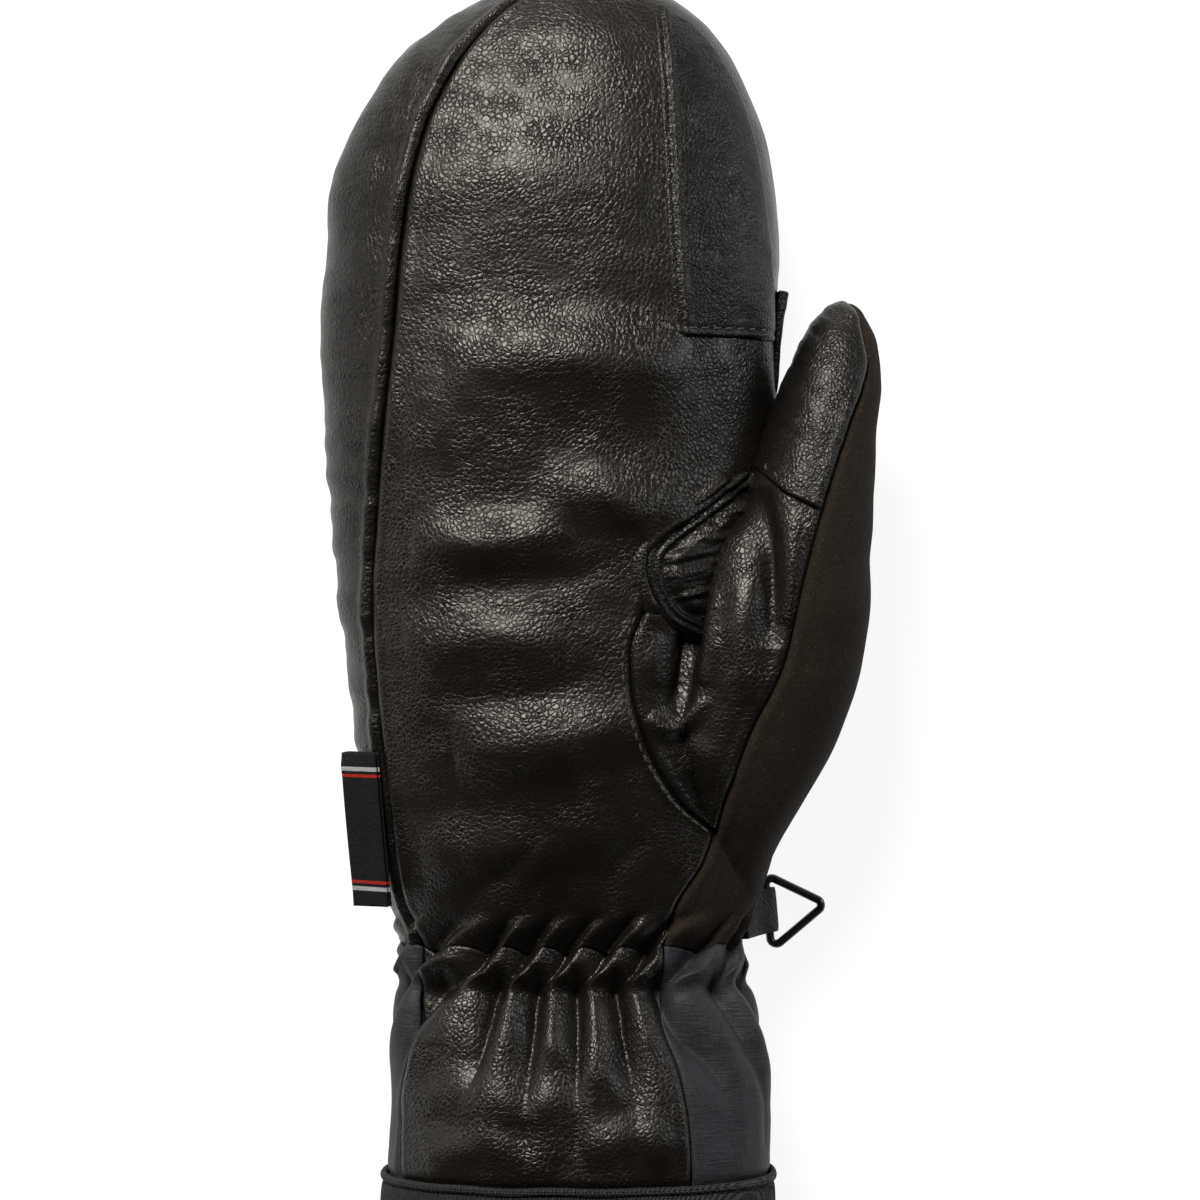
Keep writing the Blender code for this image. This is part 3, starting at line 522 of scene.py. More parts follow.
def clean(obj):
    """Welds doubled points, faces everything outwards, shades it smooth and notes where its points rest."""
    mesh = bmesh.new()
    mesh.from_mesh(obj.data)
    bmesh.ops.remove_doubles(mesh, verts=mesh.verts, dist=1e-6)
    bmesh.ops.dissolve_degenerate(mesh, edges=mesh.edges, dist=1e-6)
    bmesh.ops.recalc_face_normals(mesh, faces=mesh.faces)
    mesh.to_mesh(obj.data)
    mesh.free()
    data = obj.data
    data.polygons.foreach_set("use_smooth", np.ones(len(data.polygons), bool))
    places = np.zeros(len(data.vertices) * 3)
    data.vertices.foreach_get("co", places)
    rest = data.attributes.get("rest") or data.attributes.new("rest", "FLOAT_VECTOR", "POINT")
    rest.data.foreach_set("vector", places)


surfaces = {}


def sheet_between(name, outer, inner):
    """A closed piece from an outer and an inner grid of points, with walls round the edge."""
    rows, columns = outer.shape[:2]
    verts = np.concatenate((outer.reshape(-1, 3), inner.reshape(-1, 3)))
    below = rows * columns
    faces = []
    for r in range(rows - 1):
        for c in range(columns - 1):
            a, d = r * columns + c, (r + 1) * columns + c
            faces.append((a, d, d + 1, a + 1))
            faces.append((a + below, a + 1 + below, d + 1 + below, d + below))
    last = (rows - 1) * columns
    for c in range(columns - 1):
        faces.append((c, c + 1, c + 1 + below, c + below))
        faces.append((last + c + 1, last + c, last + c + below, last + c + 1 + below))
    for r in range(rows - 1):
        for column, turn in ((0, 1), (columns - 1, -1)):
            a = r * columns + column
            face = (a + columns, a, a + below, a + columns + below)
            faces.append(face[::turn])
    return mesh_piece(name, verts, faces)


def thick_sheet(name, outer, thickness):
    """A closed piece from a grid of outer points, which is kept for what is sewn onto it."""
    surfaces[name] = outer
    return sheet_between(name, outer, outer - normals_of(outer) * thickness)


def band_faces(rings, around, closed):
    """Faces between neighbouring rings of points, and a flat face at each end if the band isn't closed."""
    faces = []
    for r in range(rings if closed else rings - 1):
        n = (r + 1) % rings
        for c in range(around):
            d = (c + 1) % around
            faces.append((r * around + c, r * around + d, n * around + d, n * around + c))
    if not closed:
        faces.append(list(range(around))[::-1])
        faces.append([(rings - 1) * around + c for c in range(around)])
    return faces


def row_places(low, high, tip=None, step=0.8 * MM):
    """Stations from low to high a step apart, closer together where they near a rounded tip."""
    if tip is None or high < tip - 0.020:
        return np.linspace(low, high, max(3, round((high - low) / step)))
    turn = max(low, tip - 0.020)
    even = np.linspace(low, turn, max(3, round((turn - low) / step)))
    q = math.sqrt(tip - turn)
    last = math.sqrt(max(tip - high, 0))
    rounded = tip - np.linspace(q, last, max(8, round((q - last) * 2 * q / step * 1.6))) ** 2
    return np.concatenate((even, rounded[1:]))


def hand_grid(ys, span, columns):
    """Points of the hand's surface; span(row, y) says where the panel starts and ends on each row."""
    return grid_of([stretch_of(cached_row(y), *span(cached_row(y), y), columns) for y in ys], ys)


def side_z(y):
    """The height of the side seam, which meets the middle of the tip."""
    return SIDE_SEAM_Z + (TIP_Z - SIDE_SEAM_Z) * float(ramp(y, 0.125, TIP_Y))


def outer_z(y):
    return OUTER_SEAM_Z + (TIP_Z - OUTER_SEAM_Z) * float(ramp(y, 0.110, TIP_Y))


def outer_edge(row, y):
    return top_at(row, float(seam_x(OUTER_SEAM, y)))


def palm_right_edge(row, y):
    if y < FORK_Y:
        return top_at(row, float(seam_x(THUMB_SEAM, y)))
    seam = top_at(row, float(seam_x(GUSSET_SEAM if y < GUSSET_SEAM[0, 1] else PALM_AT_CROTCH, y)))
    return seam + (right_at(row, side_z(y)) - seam) * float(ramp(y, 0.0275, 0.0310))


def back_right_edge(row, y):
    side = right_at(row, side_z(y))
    under = under_at(row, 0.0385)
    return under + (side - under) * max(float(ramp(y, 0.002, 0.016)), float(ramp(-y, 0.056, 0.066)))


def wrapped(place):
    return place - ROUND if place > ROUND else place


def seam_edges(grid):
    from_start, from_end = edge_distances(grid)
    return dip(from_start) + dip(from_end)


def tip_fade(ys, tip):
    """1 over a panel's rows and 0 at its tip, where the relief has to vanish."""
    return (1 - ramp(ys, tip - 0.0030, tip - 0.0001))[:, None]


# ---------------------------------------------------------------- the hand's panels

def build_hand_panels():
    """Palm, outer side and back, which share one surface and one relief."""
    ys = row_places(WRIST_Y, TIP_Y - TIP_GAP, TIP_Y)
    fade = tip_fade(ys, TIP_Y)

    palm = hand_grid(ys, lambda row, y: (palm_right_edge(row, y), outer_edge(row, y)), 132)
    relief = skin_relief(palm) + fold_relief(palm, PALM_FOLDS) + gathers(palm, 1)
    palm_piece = thick_sheet("palm_skin", raised(palm, (relief + seam_edges(palm)) * fade), SKIN)

    side = hand_grid(ys, lambda row, y: (outer_edge(row, y), left_at(row, outer_z(y))), 58)
    from_palm, from_back = edge_distances(side)
    relief = skin_relief(side, 1.5) + side_wrinkles(side) + gathers(side, 1)
    relief = relief + dip(from_palm, 1.0, 0.75, 0.8, 2.3) + dip(from_back)
    side_piece = thick_sheet("outer_side_skin", raised(side, relief * fade), SKIN)

    back = hand_grid(ys, lambda row, y: (wrapped(left_at(row, outer_z(y))), back_right_edge(row, y)), 132)
    relief = skin_relief(back, 0.8) + gathers(back, -1)
    back_piece = thick_sheet("back_skin", raised(back, (relief + seam_edges(back)) * fade), SKIN)
    return palm_piece, side_piece, back_piece


def side_wrinkles(grid):
    """Short creases across the outer side, most of them low down, and long ones near the fingertips."""
    y = grid[..., 1]
    across = noise_over(grid, (0.020, 0.0042, 0.020), 41) * ramp(y, 0.075, 0.020)
    along = noise_over(grid, (0.0045, 0.032, 0.0060), 43) * ramp(y, 0.070, 0.110)
    return 0.55 * MM * across + 0.52 * MM * along


# ---------------------------------------------------------------- the thumb

def thumb_share(y):
    """0 where the thumb's skin is still part of the hand's outline, 1 where it is the thumb's own."""
    return float(ramp(y, -0.004, 0.018))


def mixed_grid(ys, hand_span, thumb_span, columns):
    """Points between the hand's outline and the thumb's own, as thumb_share says."""
    rows = []
    for y in ys:
        share = thumb_share(y)
        row = np.zeros((columns, 2))
        if share < 1:
            outline = cached_row(y, 1.0)
            row = row + (1 - share) * stretch_of(outline, *hand_span(outline, y), columns)
        if share > 0:
            outline = thumb_row(y)
            row = row + share * stretch_of(outline, *thumb_span(outline, y), columns)
        rows.append(row)
    return grid_of(rows, ys)


def thumb_top_edge(row, y):
    return top_at(row, float(seam_x(THUMB_SEAM, y)))


def leather_end_on_hand(row, y):
    return top_at(row, float(seam_x(GUSSET_SEAM, y)))


THUMB_LEATHER_END = ROUND + 55


def build_thumb_panels():
    """The thumb's leather front with its gusset, and the cloth round its outside down to the wrist."""
    ys = row_places(FORK_Y, THUMB_TIP_Y - TIP_GAP, THUMB_TIP_Y, 0.7 * MM)
    leather = mixed_grid(
        ys, lambda row, y: (thumb_top_edge(row, y), leather_end_on_hand(row, y)),
        lambda row, y: (thumb_top_edge(row, y), THUMB_LEATHER_END), 112,
    )
    upper = ramp(normals_of(leather)[..., 2], -0.1, 0.3)
    relief = skin_relief(leather) + fold_relief(leather, THUMB_FOLDS) * upper
    at_fork = ramp(leather[..., 1], FORK_Y, FORK_Y + 0.012)
    relief = (relief * at_fork + seam_edges(leather)) * tip_fade(ys, THUMB_TIP_Y)
    leather_piece = thick_sheet("thumb_palm_skin", raised(leather, relief), SKIN)

    ys = row_places(WRIST_Y, THUMB_TIP_Y - TIP_GAP, THUMB_TIP_Y, 0.7 * MM)
    cloth = mixed_grid(
        ys, lambda row, y: (back_right_edge(row, y), thumb_top_edge(row, y)),
        lambda row, y: (THUMB_LEATHER_END - ROUND, thumb_top_edge(row, y)), 120,
    )
    relief = (skin_relief(cloth, 0.55) + gathers(cloth, 1) + seam_edges(cloth)) * tip_fade(ys, THUMB_TIP_Y)
    cloth_piece = thick_sheet("thumb_back_skin", raised(cloth, relief), SKIN)
    return leather_piece, cloth_piece


# ---------------------------------------------------------------- the cuff

def cuff_right_edge(row, y):
    return top_at(row, float(seam_x(CUFF_RIGHT_SEAM, y)))


def build_cuff_panels():
    """Leather in front, nylon at both sides and behind."""
    ys = row_places(HEM_SEAM_Y, WRIST_Y, step=0.6 * MM)
    spans = {
        "cuff_palm_skin": (lambda row, y: (cuff_right_edge(row, y), outer_edge(row, y)), 120),
        "cuff_outer_side_skin": (lambda row, y: (outer_edge(row, y), left_at(row, OUTER_SEAM_Z)), 62),
        "cuff_thumb_side_skin": (lambda row, y: (right_at(row, OUTER_SEAM_Z), cuff_right_edge(row, y)), 84),
        "cuff_back_skin": (
            lambda row, y: (wrapped(left_at(row, OUTER_SEAM_Z)), right_at(row, OUTER_SEAM_Z)), 130),
    }
    made = []
    for name, (span, columns) in spans.items():
        grid = hand_grid(ys, span, columns)
        soft = name != "cuff_palm_skin"
        side = -1 if name == "cuff_back_skin" else 1
        relief = skin_relief(grid, 0.8 if soft else 1.6) + gathers(grid, side)
        relief = relief + (nylon_folds(grid) if soft else fold_relief(grid, CUFF_FOLDS))
        into_hem = -0.9 * MM * bell(grid[..., 1], HEM_SEAM_Y, 0.0016)
        edges = seam_edges(grid) * (0.7 if soft else 1.0)
        surface = raised(grid, relief + edges + into_hem)
        made.append(thick_sheet(name, surface, SKIN))
    return made


def nylon_folds(grid):
    """Soft upright creases in the nylon, sharpest under the wrist seam."""
    y = grid[..., 1]
    waves = noise_over(grid, (0.0075, 0.060, 0.0075), 61)
    puckers = noise_over(grid, (0.0034, 0.012, 0.0034), 63) * ramp(y, -0.1010, -0.0850)
    return 0.95 * MM * waves * ramp(y, -0.138, -0.120) + 0.55 * MM * puckers


def ring_row(y, out, count):
    """A closed row round the cuff at station y, pushed out by a distance."""
    points = stretch_of(cached_row(y), LEFT, ROUND, count + 1)[:-1]
    after, before = np.roll(points, -1, 0), np.roll(points, 1, 0)
    run = after - before
    run = run / np.linalg.norm(run, axis=1, keepdims=True)
    return points + np.stack((run[:, 1], -run[:, 0]), 1) * np.reshape(out, (-1, 1))


def tube_of_rings(name, rings):
    """A closed ring-shaped piece from rings of points that follow its section round."""
    return mesh_piece(name, np.concatenate(rings), band_faces(len(rings), len(rings[0]), True))


def level(row, y):
    """Points of a row of x, z at one station."""
    return grid_of([row], [y])[0]


def build_hem():
    """The knitted binding folded over the cuff's edge, and the overlocked ridge along its top."""
    count = 620
    ribs = 0.5 + 0.5 * np.cos(np.arange(count) * 2 * np.pi / 3.1)
    outline = (
        (0.0, HEM_SEAM_Y - 0.0004), (0.0006, HEM_SEAM_Y - 0.0018), (0.0009, -0.1410), (0.0009, -0.1450),
        (0.0008, -0.1490), (0.0003, -0.1512), (-0.0014, -0.1520), (-0.0034, -0.1512), (-0.0042, -0.1490),
        (-0.0042, -0.1440), (-0.0042, -0.1400), (-0.0028, -0.1385),
    )
    rings = []
    for out, y in smooth_line((*outline, outline[0]), 3)[:-1]:
        station = max(y, HEM_Y)
        wave = 0.45 * MM * noise_over(level(ring_row(station, out, count), y), (0.012, 0.02, 0.012), 71)
        depth = 0.16 * MM * ribs * ramp(out, -0.001, 0.0004) + wave * 0.8
        rings.append(level(ring_row(station, out + depth - 0.3 * MM, count), y))
    band = tube_of_rings("hem_band_knit", rings)

    rings = []
    threads = 0.5 + 0.5 * np.cos(np.arange(count) * 2 * np.pi / 3.6)
    radius = 0.80 * MM + 0.14 * MM * threads
    for turn in np.linspace(0, 2 * np.pi, 12, endpoint=False):
        places = level(ring_row(HEM_SEAM_Y, 0.35 * MM + radius * np.cos(turn), count), HEM_SEAM_Y)
        places[:, 1] += radius * np.sin(turn) * 1.15 + 0.25 * MM * noise(places / 0.011, 73)
        rings.append(places)
    ridge = tube_of_rings("hem_overlock", rings)
    return band, ridge


def build_cuff_lining():
    """The cuff's smooth lining, whose inner end turns in to meet the fleece."""
    count = 240
    inside, outside = [], []
    for y in row_places(HEM_SEAM_Y - 0.0008, -0.0790, step=1.2 * MM):
        turn_in = 1.8 * MM * float(ramp(y, -0.1360, -0.1240)) + 1.8 * MM * float(ramp(y, -0.0850, -0.0795))
        rough = 0.45 * MM * noise_over(level(ring_row(y, 0, count), y), (0.010, 0.012, 0.010), 81)
        outside.append(level(ring_row(y, rough - 2.7 * MM - turn_in, count), y))
        inside.append(level(ring_row(y, rough - 3.7 * MM - turn_in, count), y))
    return tube_of_rings("cuff_lining_cloth", [*outside, *reversed(inside)])


LINING_DEPTH = 0.0062
LINING_THICKNESS = 0.0011


def bag(name, sections, tip, half, low):
    """A lining bag: a section drawn in by a depth all round, open at its low end and closed at its tip."""
    turn = np.linspace(0, 2 * np.pi, 150, endpoint=False)
    outwards = np.stack((np.cos(turn), turn * 0, np.sin(turn)), 1)
    base = sections[0, 0]
    skins = []
    for depth in (LINING_DEPTH, LINING_DEPTH + LINING_THICKNESS):
        stretch = (tip - depth - base) / (tip - base)
        rings = []
        for y in row_places(low, tip - 0.00004, tip, 1.6 * MM):
            x, z, wide, tall = section_at(sections, tip, y)
            row = oval((x, z, wide * (1 - depth / half[0]), tall * (1 - depth / half[1])), turn)
            places = level(row, base + (y - base) * stretch)
            rings.append(places + outwards * (0.30 * MM * noise(places / 0.008, 91))[:, None])
        skins.append(rings)
    return tube_of_rings(name, [*skins[0], *reversed(skins[1])])


# ---------------------------------------------------------------- patches, welts, stitches

def sampled(grid, row, column):
    """Points of a grid at fractional rows and columns."""
    row = np.clip(row, 0, grid.shape[0] - 1.000001)
    column = np.clip(column, 0, grid.shape[1] - 1.000001)
    r, c = np.floor(row).astype(int), np.floor(column).astype(int)
    u, v = (row - r)[..., None], (column - c)[..., None]
    return ((grid[r, c] * (1 - v) + grid[r, c + 1] * v) * (1 - u)
            + (grid[r + 1, c] * (1 - v) + grid[r + 1, c + 1] * v) * u)


class Ground:
    """The finished skins seen from above: the height and normal under any place."""

    def __init__(self, pieces):
        verts, faces = [], []
        for obj in pieces:
            base = len(verts)
            verts.extend(tuple(v.co) for v in obj.data.vertices)
            faces.extend(tuple(base + n for n in face.vertices) for face in obj.data.polygons)
        self.tree = BVHTree.FromPolygons(verts, faces)

    def at(self, x, y):
        """(point, normal) of the top of the skin over x, y, or None."""
        place, normal, _, _ = self.tree.ray_cast(Vector((x, y, 0.2)), Vector((0, 0, -1)))
        if place is None:
            return None
        return np.array(place), np.array(normal if normal.z > 0 else -normal)


def along_line(line, spacing):
    """Points evenly spaced along a plan line, with the direction at each."""
    line = np.asarray(line, float)
    run = np.concatenate(([0], np.cumsum(np.hypot(*np.diff(line, axis=0).T))))

    def at(far):
        return np.stack((np.interp(far, run, line[:, 0]), np.interp(far, run, line[:, 1])), 1)

    even = np.linspace(spacing / 2, run[-1] - spacing / 2, max(2, int(run[-1] / spacing)))
    heading = at(np.minimum(even + 0.0004, run[-1])) - at(np.maximum(even - 0.0004, 0))
    return at(even), heading / np.linalg.norm(heading, axis=1, keepdims=True)


STITCH_SPACING = 2.7 * MM
STITCH_LENGTH = 2.1 * MM
STITCH_RADIUS = 0.24 * MM
STITCH_LIFT = 0.10 * MM


def stitch_row(name, ground, line):
    """One sewn row: small round-ended threads lying in the leather along a plan line."""
    verts, faces = [], []
    stations = np.array((-0.5, -0.42, -0.2, 0.2, 0.42, 0.5)) * STITCH_LENGTH
    sizes = np.array((0.25, 0.75, 1.0, 1.0, 0.75, 0.25)) * STITCH_RADIUS
    sink = np.array((-0.30, -0.10, 0.04, 0.04, -0.10, -0.30)) * MM
    one_stitch = band_faces(len(stations), 6, False)
    for place, heading in zip(*along_line(line, STITCH_SPACING)):
        found = ground.at(*place)
        if found is None:
            continue
        point, normal = found
        run = np.array((heading[0], heading[1], 0.0))
        run -= normal * (run @ normal)
        run /= np.linalg.norm(run)
        side = np.cross(normal, run)
        base = len(verts)
        for s, size, down in zip(stations, sizes, sink):
            for turn in np.linspace(0, 2 * np.pi, 6, endpoint=False):
                verts.append(point + run * s + normal * (STITCH_LIFT + down + size * math.sin(turn))
                             + side * size * 1.15 * math.cos(turn))
        faces.extend([base + n for n in face] for face in one_stitch)
    return mesh_piece(name, verts, faces)


INDEX_PATCH_LEFT = np.array((
    (0.0118, 0.1480), (0.0140, 0.1230), (0.0153, 0.0960), (0.0166, 0.0740), (0.0180, 0.0610),
))
INDEX_SEAM = np.array((
    (0.0060, 0.1485), (0.0160, 0.1400), (0.0230, 0.1360), (0.0280, 0.1300), (0.0330, 0.1210),
    (0.0368, 0.1100), (0.0395, 0.0950), (0.0410, 0.0800), (0.0415, 0.0610),
))
INDEX_PATCH_LOW_Y = 0.0615
INDEX_PATCH_TOP_Y = 0.1412


def build_index_patch(palm_grid):
    """The reinforcement over the index finger, with a sunk strip down its left edge."""
    ys = row_places(INDEX_PATCH_LOW_Y, INDEX_PATCH_TOP_Y, step=0.6 * MM)
    rows = np.interp(ys, palm_grid[:, 0, 1], np.arange(len(palm_grid)))
    columns = 62
    whole_row = np.arange(palm_grid.shape[1], dtype=float)
    grid = np.zeros((len(ys), columns, 3))
    for n, (y, row) in enumerate(zip(ys, rows)):
        line = sampled(palm_grid, np.full(len(whole_row), row), whole_row)
        left, right = float(seam_x(INDEX_PATCH_LEFT, y)), float(seam_x(INDEX_SEAM, y))
        top = int(np.argmin(np.abs(line[:, 0] - left)))
        falling = np.maximum.accumulate(line[: top + 3, 0][::-1])[::-1]
        place_left = np.interp(-left, -falling, np.arange(len(falling)))
        place_right = max(2.5, np.interp(-right, -falling, np.arange(len(falling))))
        places = np.linspace(place_right, place_left, columns)
        grid[n] = sampled(line[None].repeat(2, 0), np.zeros(columns), places)
    from_right, from_left = edge_distances(grid)
    low = (grid[..., 1] - INDEX_PATCH_LOW_Y) / MM
    left = from_left / MM
    height = 0.85 - 0.60 * (1 - ramp(left, 1.9, 2.5))
    height += 0.30 * bell(left, 3.0, 0.7) - 0.55 * bell(left, 0, 0.35)
    height -= 0.35 * bell(low, 2.0, 0.6) * ramp(left, 1.5, 2.5)
    height -= 0.55 * bell(low, 0, 0.5) + 0.9 * bell(from_right / MM, 0, 0.9)
    wrinkle = noise_over(grid, (0.0045, 0.010, 0.006), 101) * 0.16 * ramp(left, 2.5, 5.0)
    surface = raised(grid, (height + wrinkle) * MM)
    return thick_sheet("index_patch_leather", surface, 0.9 * MM)


THUMB_PATCH_EDGE = np.array((
    (0.0330, 0.0345), (0.0370, 0.0300), (0.0425, 0.0248), (0.0460, 0.0228), (0.0510, 0.0205),
))


def build_thumb_patch(leather_grid):
    """The thumb's tip reinforcement: a second layer from its sewn lower edge to the tip."""
    rows, columns = leather_grid.shape[:2]
    used = np.arange(1.2, columns * 0.80, 1.0)
    steps = 96
    grid = np.zeros((steps, len(used), 3))
    for n, column in enumerate(used):
        line = sampled(leather_grid, np.arange(rows, dtype=float), np.full(rows, column))
        edge_y = np.interp(line[:, 0], THUMB_PATCH_EDGE[:, 0], THUMB_PATCH_EDGE[:, 1])
        past = np.nonzero(line[:, 1] > edge_y)[0]
        first = past[0] if len(past) else 0
        gap_before, gap_after = (line[k, 1] - edge_y[k] for k in (first - 1, first))
        start = first - 1 + gap_before / (gap_before - gap_after)
        places = start + (rows - 1.5 - start) * np.linspace(0, 1, steps)
        grid[:, n] = sampled(leather_grid, places, np.full(steps, column))
    x, y, z = np.moveaxis(grid, -1, 0)
    from_seam, from_far = edge_distances(grid)
    up = np.linalg.norm(np.diff(grid, axis=0), axis=2)
    from_low = np.concatenate((np.zeros((1, len(used))), np.cumsum(up, axis=0))) / MM
    height = 0.80 - 0.60 * bell(from_low, 0, 0.5) - 0.30 * bell(from_low, 2.2, 0.6)
    height -= 0.75 * bell(from_seam / MM, 0, 0.9) + 0.8 * bell(from_far / MM, 0, 1.2)
    slanting = np.stack((x * 0.8 + y, x - y, z), -1)
    wrinkle = 0.22 * noise_over(slanting, (0.0022, 0.011, 0.012), 103)
    tip = 1 - ramp(y, THUMB_TIP_Y - 0.0015, THUMB_TIP_Y)
    surface = raised(grid, (height + wrinkle * tip) * MM)
    return thick_sheet("thumb_tip_leather", surface, 0.8 * MM)


CROTCH_EDGE = np.array((
    (0.0215, -0.0085), (0.0160, -0.0055), (0.0122, 0.0000), (0.0103, 0.0060), (0.0108, 0.0115),
    (0.0140, 0.0155), (0.0190, 0.0195), (0.0250, 0.0240), (0.0325, 0.0300),
))


def build_crotch():
    """The insert in the crotch: two sewn welts along its edge, then a pleated leather cushion.

    It runs on under the thumb and down the hand's side to the back."""
    ys = row_places(-0.0080, 0.0300, step=0.35 * MM)
    rows = []
    for y in ys:
        row = cached_row(y, 0.0)
        edge = top_at(row, float(seam_x(CROTCH_EDGE, y)))
        rows.append(stretch_of(row, under_at(row, 0.0320), edge, 130))
    grid = grid_of(rows, ys)
    x, y, z = np.moveaxis(grid, -1, 0)
    far = distance_to_line(x, y, smooth_line(CROTCH_EDGE, 6))[0] / MM
    upper = ramp(z, 0.036, 0.044)
    welts = 0.90 * bell(far, 1.3, 0.70) + 1.10 * bell(far, 3.1, 0.75)
    cushion = 2.1 * ramp(far, 3.9, 7.0)
    leaning = np.stack((x, y - 0.25 * x, x * 0), -1)
    pleats = 0.55 * noise_over(leaning, (0.0070, 0.0013, 1), 107) * ramp(far, 4.0, 5.4)
    in_plan = np.stack((x, y, x * 0), -1)
    crumple = 0.50 * noise_over(in_plan, (0.0022, 0.0018, 1), 109) * ramp(y, 0.0120, 0.0170)
    sunk = 0.6 * (1 - upper) + 1.5 * (1 - ramp(z, 0.020, 0.028))
    relief = MM * (0.35 + upper * (welts + cushion + pleats + crumple) - sunk)
    surface = grid + normals_of(grid) * relief[..., None]
    return thick_sheet("thumb_crotch_leather", surface, 1.0 * MM)


def build_crotch_lip():
    """The palm leather's turned edge, which stands over the crotch insert."""
    line, headings = along_line(smooth_line(CROTCH_EDGE[1:], 8), 0.5 * MM)
    profile = (
        (-3.4, -0.30), (-2.4, 0.20), (-1.4, 0.85), (-0.6, 1.25), (0.1, 1.30), (0.6, 0.95), (0.75, 0.5),
        (0.5, 0.1), (-0.6, -0.3), (-2.0, -0.6),
    )
    out = np.stack((headings[:, 1], -headings[:, 0]), 1)
    share = np.linspace(0, 1, len(line))
    ends = ramp(share, 0, 0.12) * ramp(share[::-1], 0, 0.08)
    strands = []
    for across, up in profile:
        plan = line + out * across * MM
        seat = top_height(HAND_SECTIONS, TIP_Y, *plan.T)
        strands.append(np.column_stack((plan, seat + (up + 0.3) * MM * ends - 0.9 * MM * (1 - ends))))
    verts = np.array(strands).transpose(1, 0, 2).reshape(-1, 3)
    return mesh_piece("thumb_crotch_lip", verts, band_faces(len(line), len(profile), False))


def swept(name, line, profile, closed=False):
    """A piece whose section, a closed outline of (side, up) offsets, follows a 3D line."""
    line = np.asarray(line, float)
    run = np.roll(line, -1, 0) - np.roll(line, 1, 0) if closed else np.gradient(line, axis=0)
    run /= np.linalg.norm(run, axis=1, keepdims=True)
    side = np.cross(run, UP)
    side /= np.linalg.norm(side, axis=1, keepdims=True)
    up = np.cross(side, run)
    profiles = np.broadcast_to(profile, (len(line), *np.shape(profile)[-2:]))
    verts = line[:, None] + side[:, None] * profiles[..., :1] + up[:, None] * profiles[..., 1:]
    return mesh_piece(name, verts.reshape(-1, 3), band_faces(len(line), profiles.shape[1], closed))


def rounded_box(wide, tall, corner, steps=5):
    """A closed outline: a wide, tall box with round corners."""
    points = []
    for n, (cx, cy) in enumerate(((1, 1), (-1, 1), (-1, -1), (1, -1))):
        for k in range(steps + 1):
            angle = math.pi / 2 * (n + k / steps)
            points.append((cx * (wide / 2 - corner) + corner * math.cos(angle),
                           cy * (tall / 2 - corner) + corner * math.sin(angle)))
    return np.array(points)


def round_section(radius, count=16):
    turn = np.linspace(0, 2 * np.pi, count, endpoint=False)
    return np.stack((np.cos(turn), np.sin(turn)), 1) * radius


WELT_LINE = np.array((
    (0.0405, 0.0450, 0.0300), (0.0415, 0.0520, 0.0300), (0.0420, 0.0600, 0.0300),
    (0.0428, 0.0670, 0.0295), (0.0438, 0.0725, 0.0290), (0.0441, 0.0742, 0.0290),
))


def build_welt():
    """The bound end of the index side seam: a folded leather strip that stands off the hand's side."""
    line = smooth_line(WELT_LINE, 10)
    share = np.linspace(0, 1, len(line))
    fold = rounded_box(2.7 * MM, 3.4 * MM, 1.0 * MM)
    fold[:, 1] -= bell(fold[:, 0], 0, 0.35 * MM) * np.sign(fold[:, 1]) * 0.25 * MM
    size = 0.65 + 0.35 * ramp(share, 0.0, 0.25) - 0.30 * ramp(share, 0.94, 1.0)
    ripple = 1 + 0.07 * noise(np.stack((share * 14, share * 0, share * 0), 1), 111)
    return swept("index_side_welt_leather", line, fold * (size * ripple)[:, None, None])


RING_CORNERS = np.array(((0.0410, -0.0682), (0.0426, -0.0870), (0.0562, -0.0755)))
RING_CORNER_RADIUS = 0.0015
RING_WIRE = 0.00105
LOOP_ROOT = np.array((0.0356, -0.0775, 0.0135))
LOOP_HALF_WIDTH = 5.6 * MM
LOOP_LEATHER_THICKNESS = 1.0 * MM


def unit(vector):
    return vector / np.linalg.norm(vector)


def build_ring():
    """A coated wire ring, bent to a triangle."""
    line = []
    for n in range(3):
        corner, last, following = RING_CORNERS[n], RING_CORNERS[n - 1], RING_CORNERS[(n + 1) % 3]
        to_last, to_next = unit(last - corner), unit(following - corner)
        half = math.acos(to_last @ to_next) / 2
        centre = corner + unit(to_last + to_next) * RING_CORNER_RADIUS / math.sin(half)
        reach = RING_CORNER_RADIUS / math.tan(half)
        start, end = corner + to_last * reach - centre, corner + to_next * reach - centre
        for share in np.linspace(0, 1, 9):
            line.append(centre + unit(start + (end - start) * share) * RING_CORNER_RADIUS)
        leave, arrive = centre + end, following - to_next * reach
        for share in np.linspace(0, 1, 9)[1:-1]:
            line.append(leave + (arrive - leave) * share)
    places = np.column_stack((line, np.full(len(line), RING_WIRE)))
    return swept("clip_ring_wire", places, round_section(RING_WIRE, 20), closed=True)


